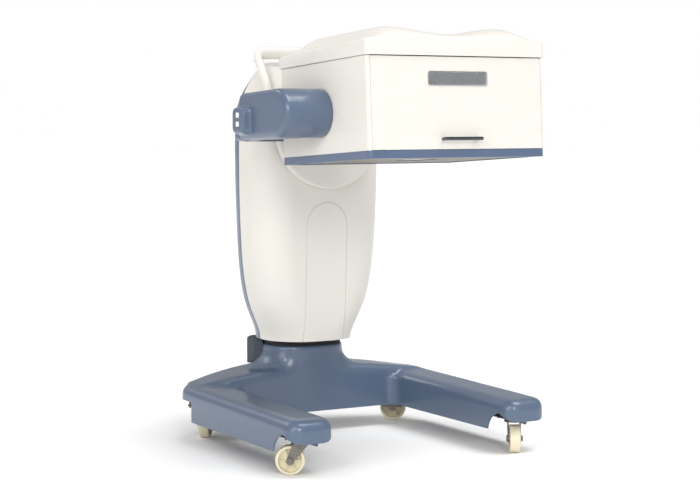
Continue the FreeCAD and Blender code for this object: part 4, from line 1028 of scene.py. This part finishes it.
# ---- the studio -------------------------------------------------------------
@dataclass
class Studio:
    """Pale floor, soft lights and the camera, placed from the column's axis.

    Attributes:
        eye: camera place from the foot of the column, in metres.
        yaw_deg: turn of the view to the right of +Y.
        dip_deg: how far the view looks down.
        roll_deg: small roll of the camera.
        lens_mm: focal length on a sensor 36 mm wide.
        surround: light of the white surround on the instrument.
    """

    eye: tuple[float, float, float] = (-2.492, -4.529, 0.9185)
    yaw_deg: float = 30.33
    dip_deg: float = 4.46
    roll_deg: float = 0.12
    lens_mm: float = 92.8
    surround: float = 0.48

    def floor(self) -> None:
        """Lay a wide pale floor."""
        sheet = bmesh.new()
        bmesh.ops.create_grid(sheet, x_segments=2, y_segments=2, size=30.0)
        mesh = bpy.data.meshes.new("floor")
        sheet.to_mesh(mesh)
        sheet.free()
        plane = bpy.data.objects.new("floor", mesh)
        bpy.context.collection.objects.link(plane)
        pale = Finish("pale_vinyl_floor", "#FFFFFF", "#FDFDFD", Surface.MOULDED, grain_mm=3.0,
                      rough=0.85, relief_mm=0.01)
        mesh.materials.append(pale.material())

    def lamp(
        self, name: str, offset: Sequence[float], size: float, watts: float, aim_z: float = 0.6
    ) -> None:
        """Hang one square soft light aimed at the instrument.

        Args:
            name: the light's name.
            offset: place from the foot of the column.
            size: side of the square.
            watts: its power.
            aim_z: height it looks at.
        """
        data = bpy.data.lights.new(name, "AREA")
        data.shape = "SQUARE"
        data.size = size
        data.energy = watts
        light = bpy.data.objects.new(name, data)
        bpy.context.collection.objects.link(light)
        light.location = column_axis() + Vector(offset)
        look = column_axis() + Vector((0.0, -0.3, aim_z)) - light.location
        light.rotation_euler = look.to_track_quat("-Z", "Y").to_euler()

    def sun(self, name: str, towards: Sequence[float], soft_deg: float, strength: float) -> None:
        """Add one even light with no falloff.

        Args:
            name: the light's name.
            towards: direction from the instrument to the light.
            soft_deg: how wide the light looks, which softens its shadows.
            strength: its power on a square metre.
        """
        data = bpy.data.lights.new(name, "SUN")
        data.angle = math.radians(soft_deg)
        data.energy = strength
        light = bpy.data.objects.new(name, data)
        bpy.context.collection.objects.link(light)
        light.rotation_euler = Vector(towards).to_track_quat("Z", "Y").to_euler()

    def lights(self) -> None:
        """Hang the key, the fills and the top light, and set a white surround."""
        self.sun("key_front", (-0.33, -1.0, 0.42), 20.0, 0.9)
        self.sun("top_soft", (0.25, -0.3, 1.0), 35.0, 1.75)
        self.sun("fill_left", (-1.0, -0.4, 0.3), 30.0, 0.65)
        self.sun("back_rim", (-0.5, 1.0, 0.8), 25.0, 0.35)
        self.lamp("window_strip", (-3.2, -3.0, 2.6), 1.0, 30.0)
        world = bpy.data.worlds.new("studio_white")
        bpy.context.scene.world = world
        world.use_nodes = True
        background = world.node_tree.nodes["Background"]
        background.inputs["Color"].default_value = linear("#FFFFFF")
        ray = add_node(world.node_tree, "ShaderNodeLightPath").outputs["Is Camera Ray"]
        shown = add_node(world.node_tree, "ShaderNodeMapRange",
                         values={"To Min": self.surround, "To Max": 1.0}, links={"Value": ray})
        world.node_tree.links.new(shown.outputs["Result"], background.inputs["Strength"])

    def camera(self) -> None:
        """Place the camera at the viewing angle that the instrument is shown from."""
        data = bpy.data.cameras.new("camera")
        data.lens = self.lens_mm
        data.sensor_width = 36.0
        data.clip_end = 100.0
        body = bpy.data.objects.new("camera", data)
        bpy.context.collection.objects.link(body)
        turn = (
            Matrix.Rotation(math.radians(-self.yaw_deg), 4, "Z")
            @ Matrix.Rotation(math.radians(90.0 - self.dip_deg), 4, "X")
            @ Matrix.Rotation(math.radians(self.roll_deg), 4, "Z")
        )
        body.matrix_world = Matrix.Translation(column_axis() + Vector(self.eye)) @ turn
        bpy.context.scene.camera = body

    def build(self) -> None:
        """Set up the whole studio, with plain display colours so that white stays white."""
        bpy.context.scene.view_settings.view_transform = "Standard"
        self.floor()
        self.lights()
        self.camera()


def dress_nodes() -> None:
    """Give every frame node the finish of its material slot."""
    for part in frame["record"]["subparts"]:
        node, slot = part["node"], part["material_slot"]
        finish = NODE_FINISH.get(node, SLOT_FINISH[slot])
        shape = frame["nodes"][node]
        shape.data.materials.clear()
        shape.data.materials.append(finish.material())
        LOG.info("%s dressed in %s", node, finish.name)


def main() -> None:
    """Dress the frame, build each sub-assembly in order and set up the studio."""
    logging.basicConfig(level=logging.INFO, format="%(name)s: %(message)s")
    dress_nodes()
    for assembly in (BaseCover(), Pod(), PushHandle(), HeadTop(), Nameplate()):
        for piece in assembly.build():
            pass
    Studio().build()


if __name__ == "__main__":
    main()
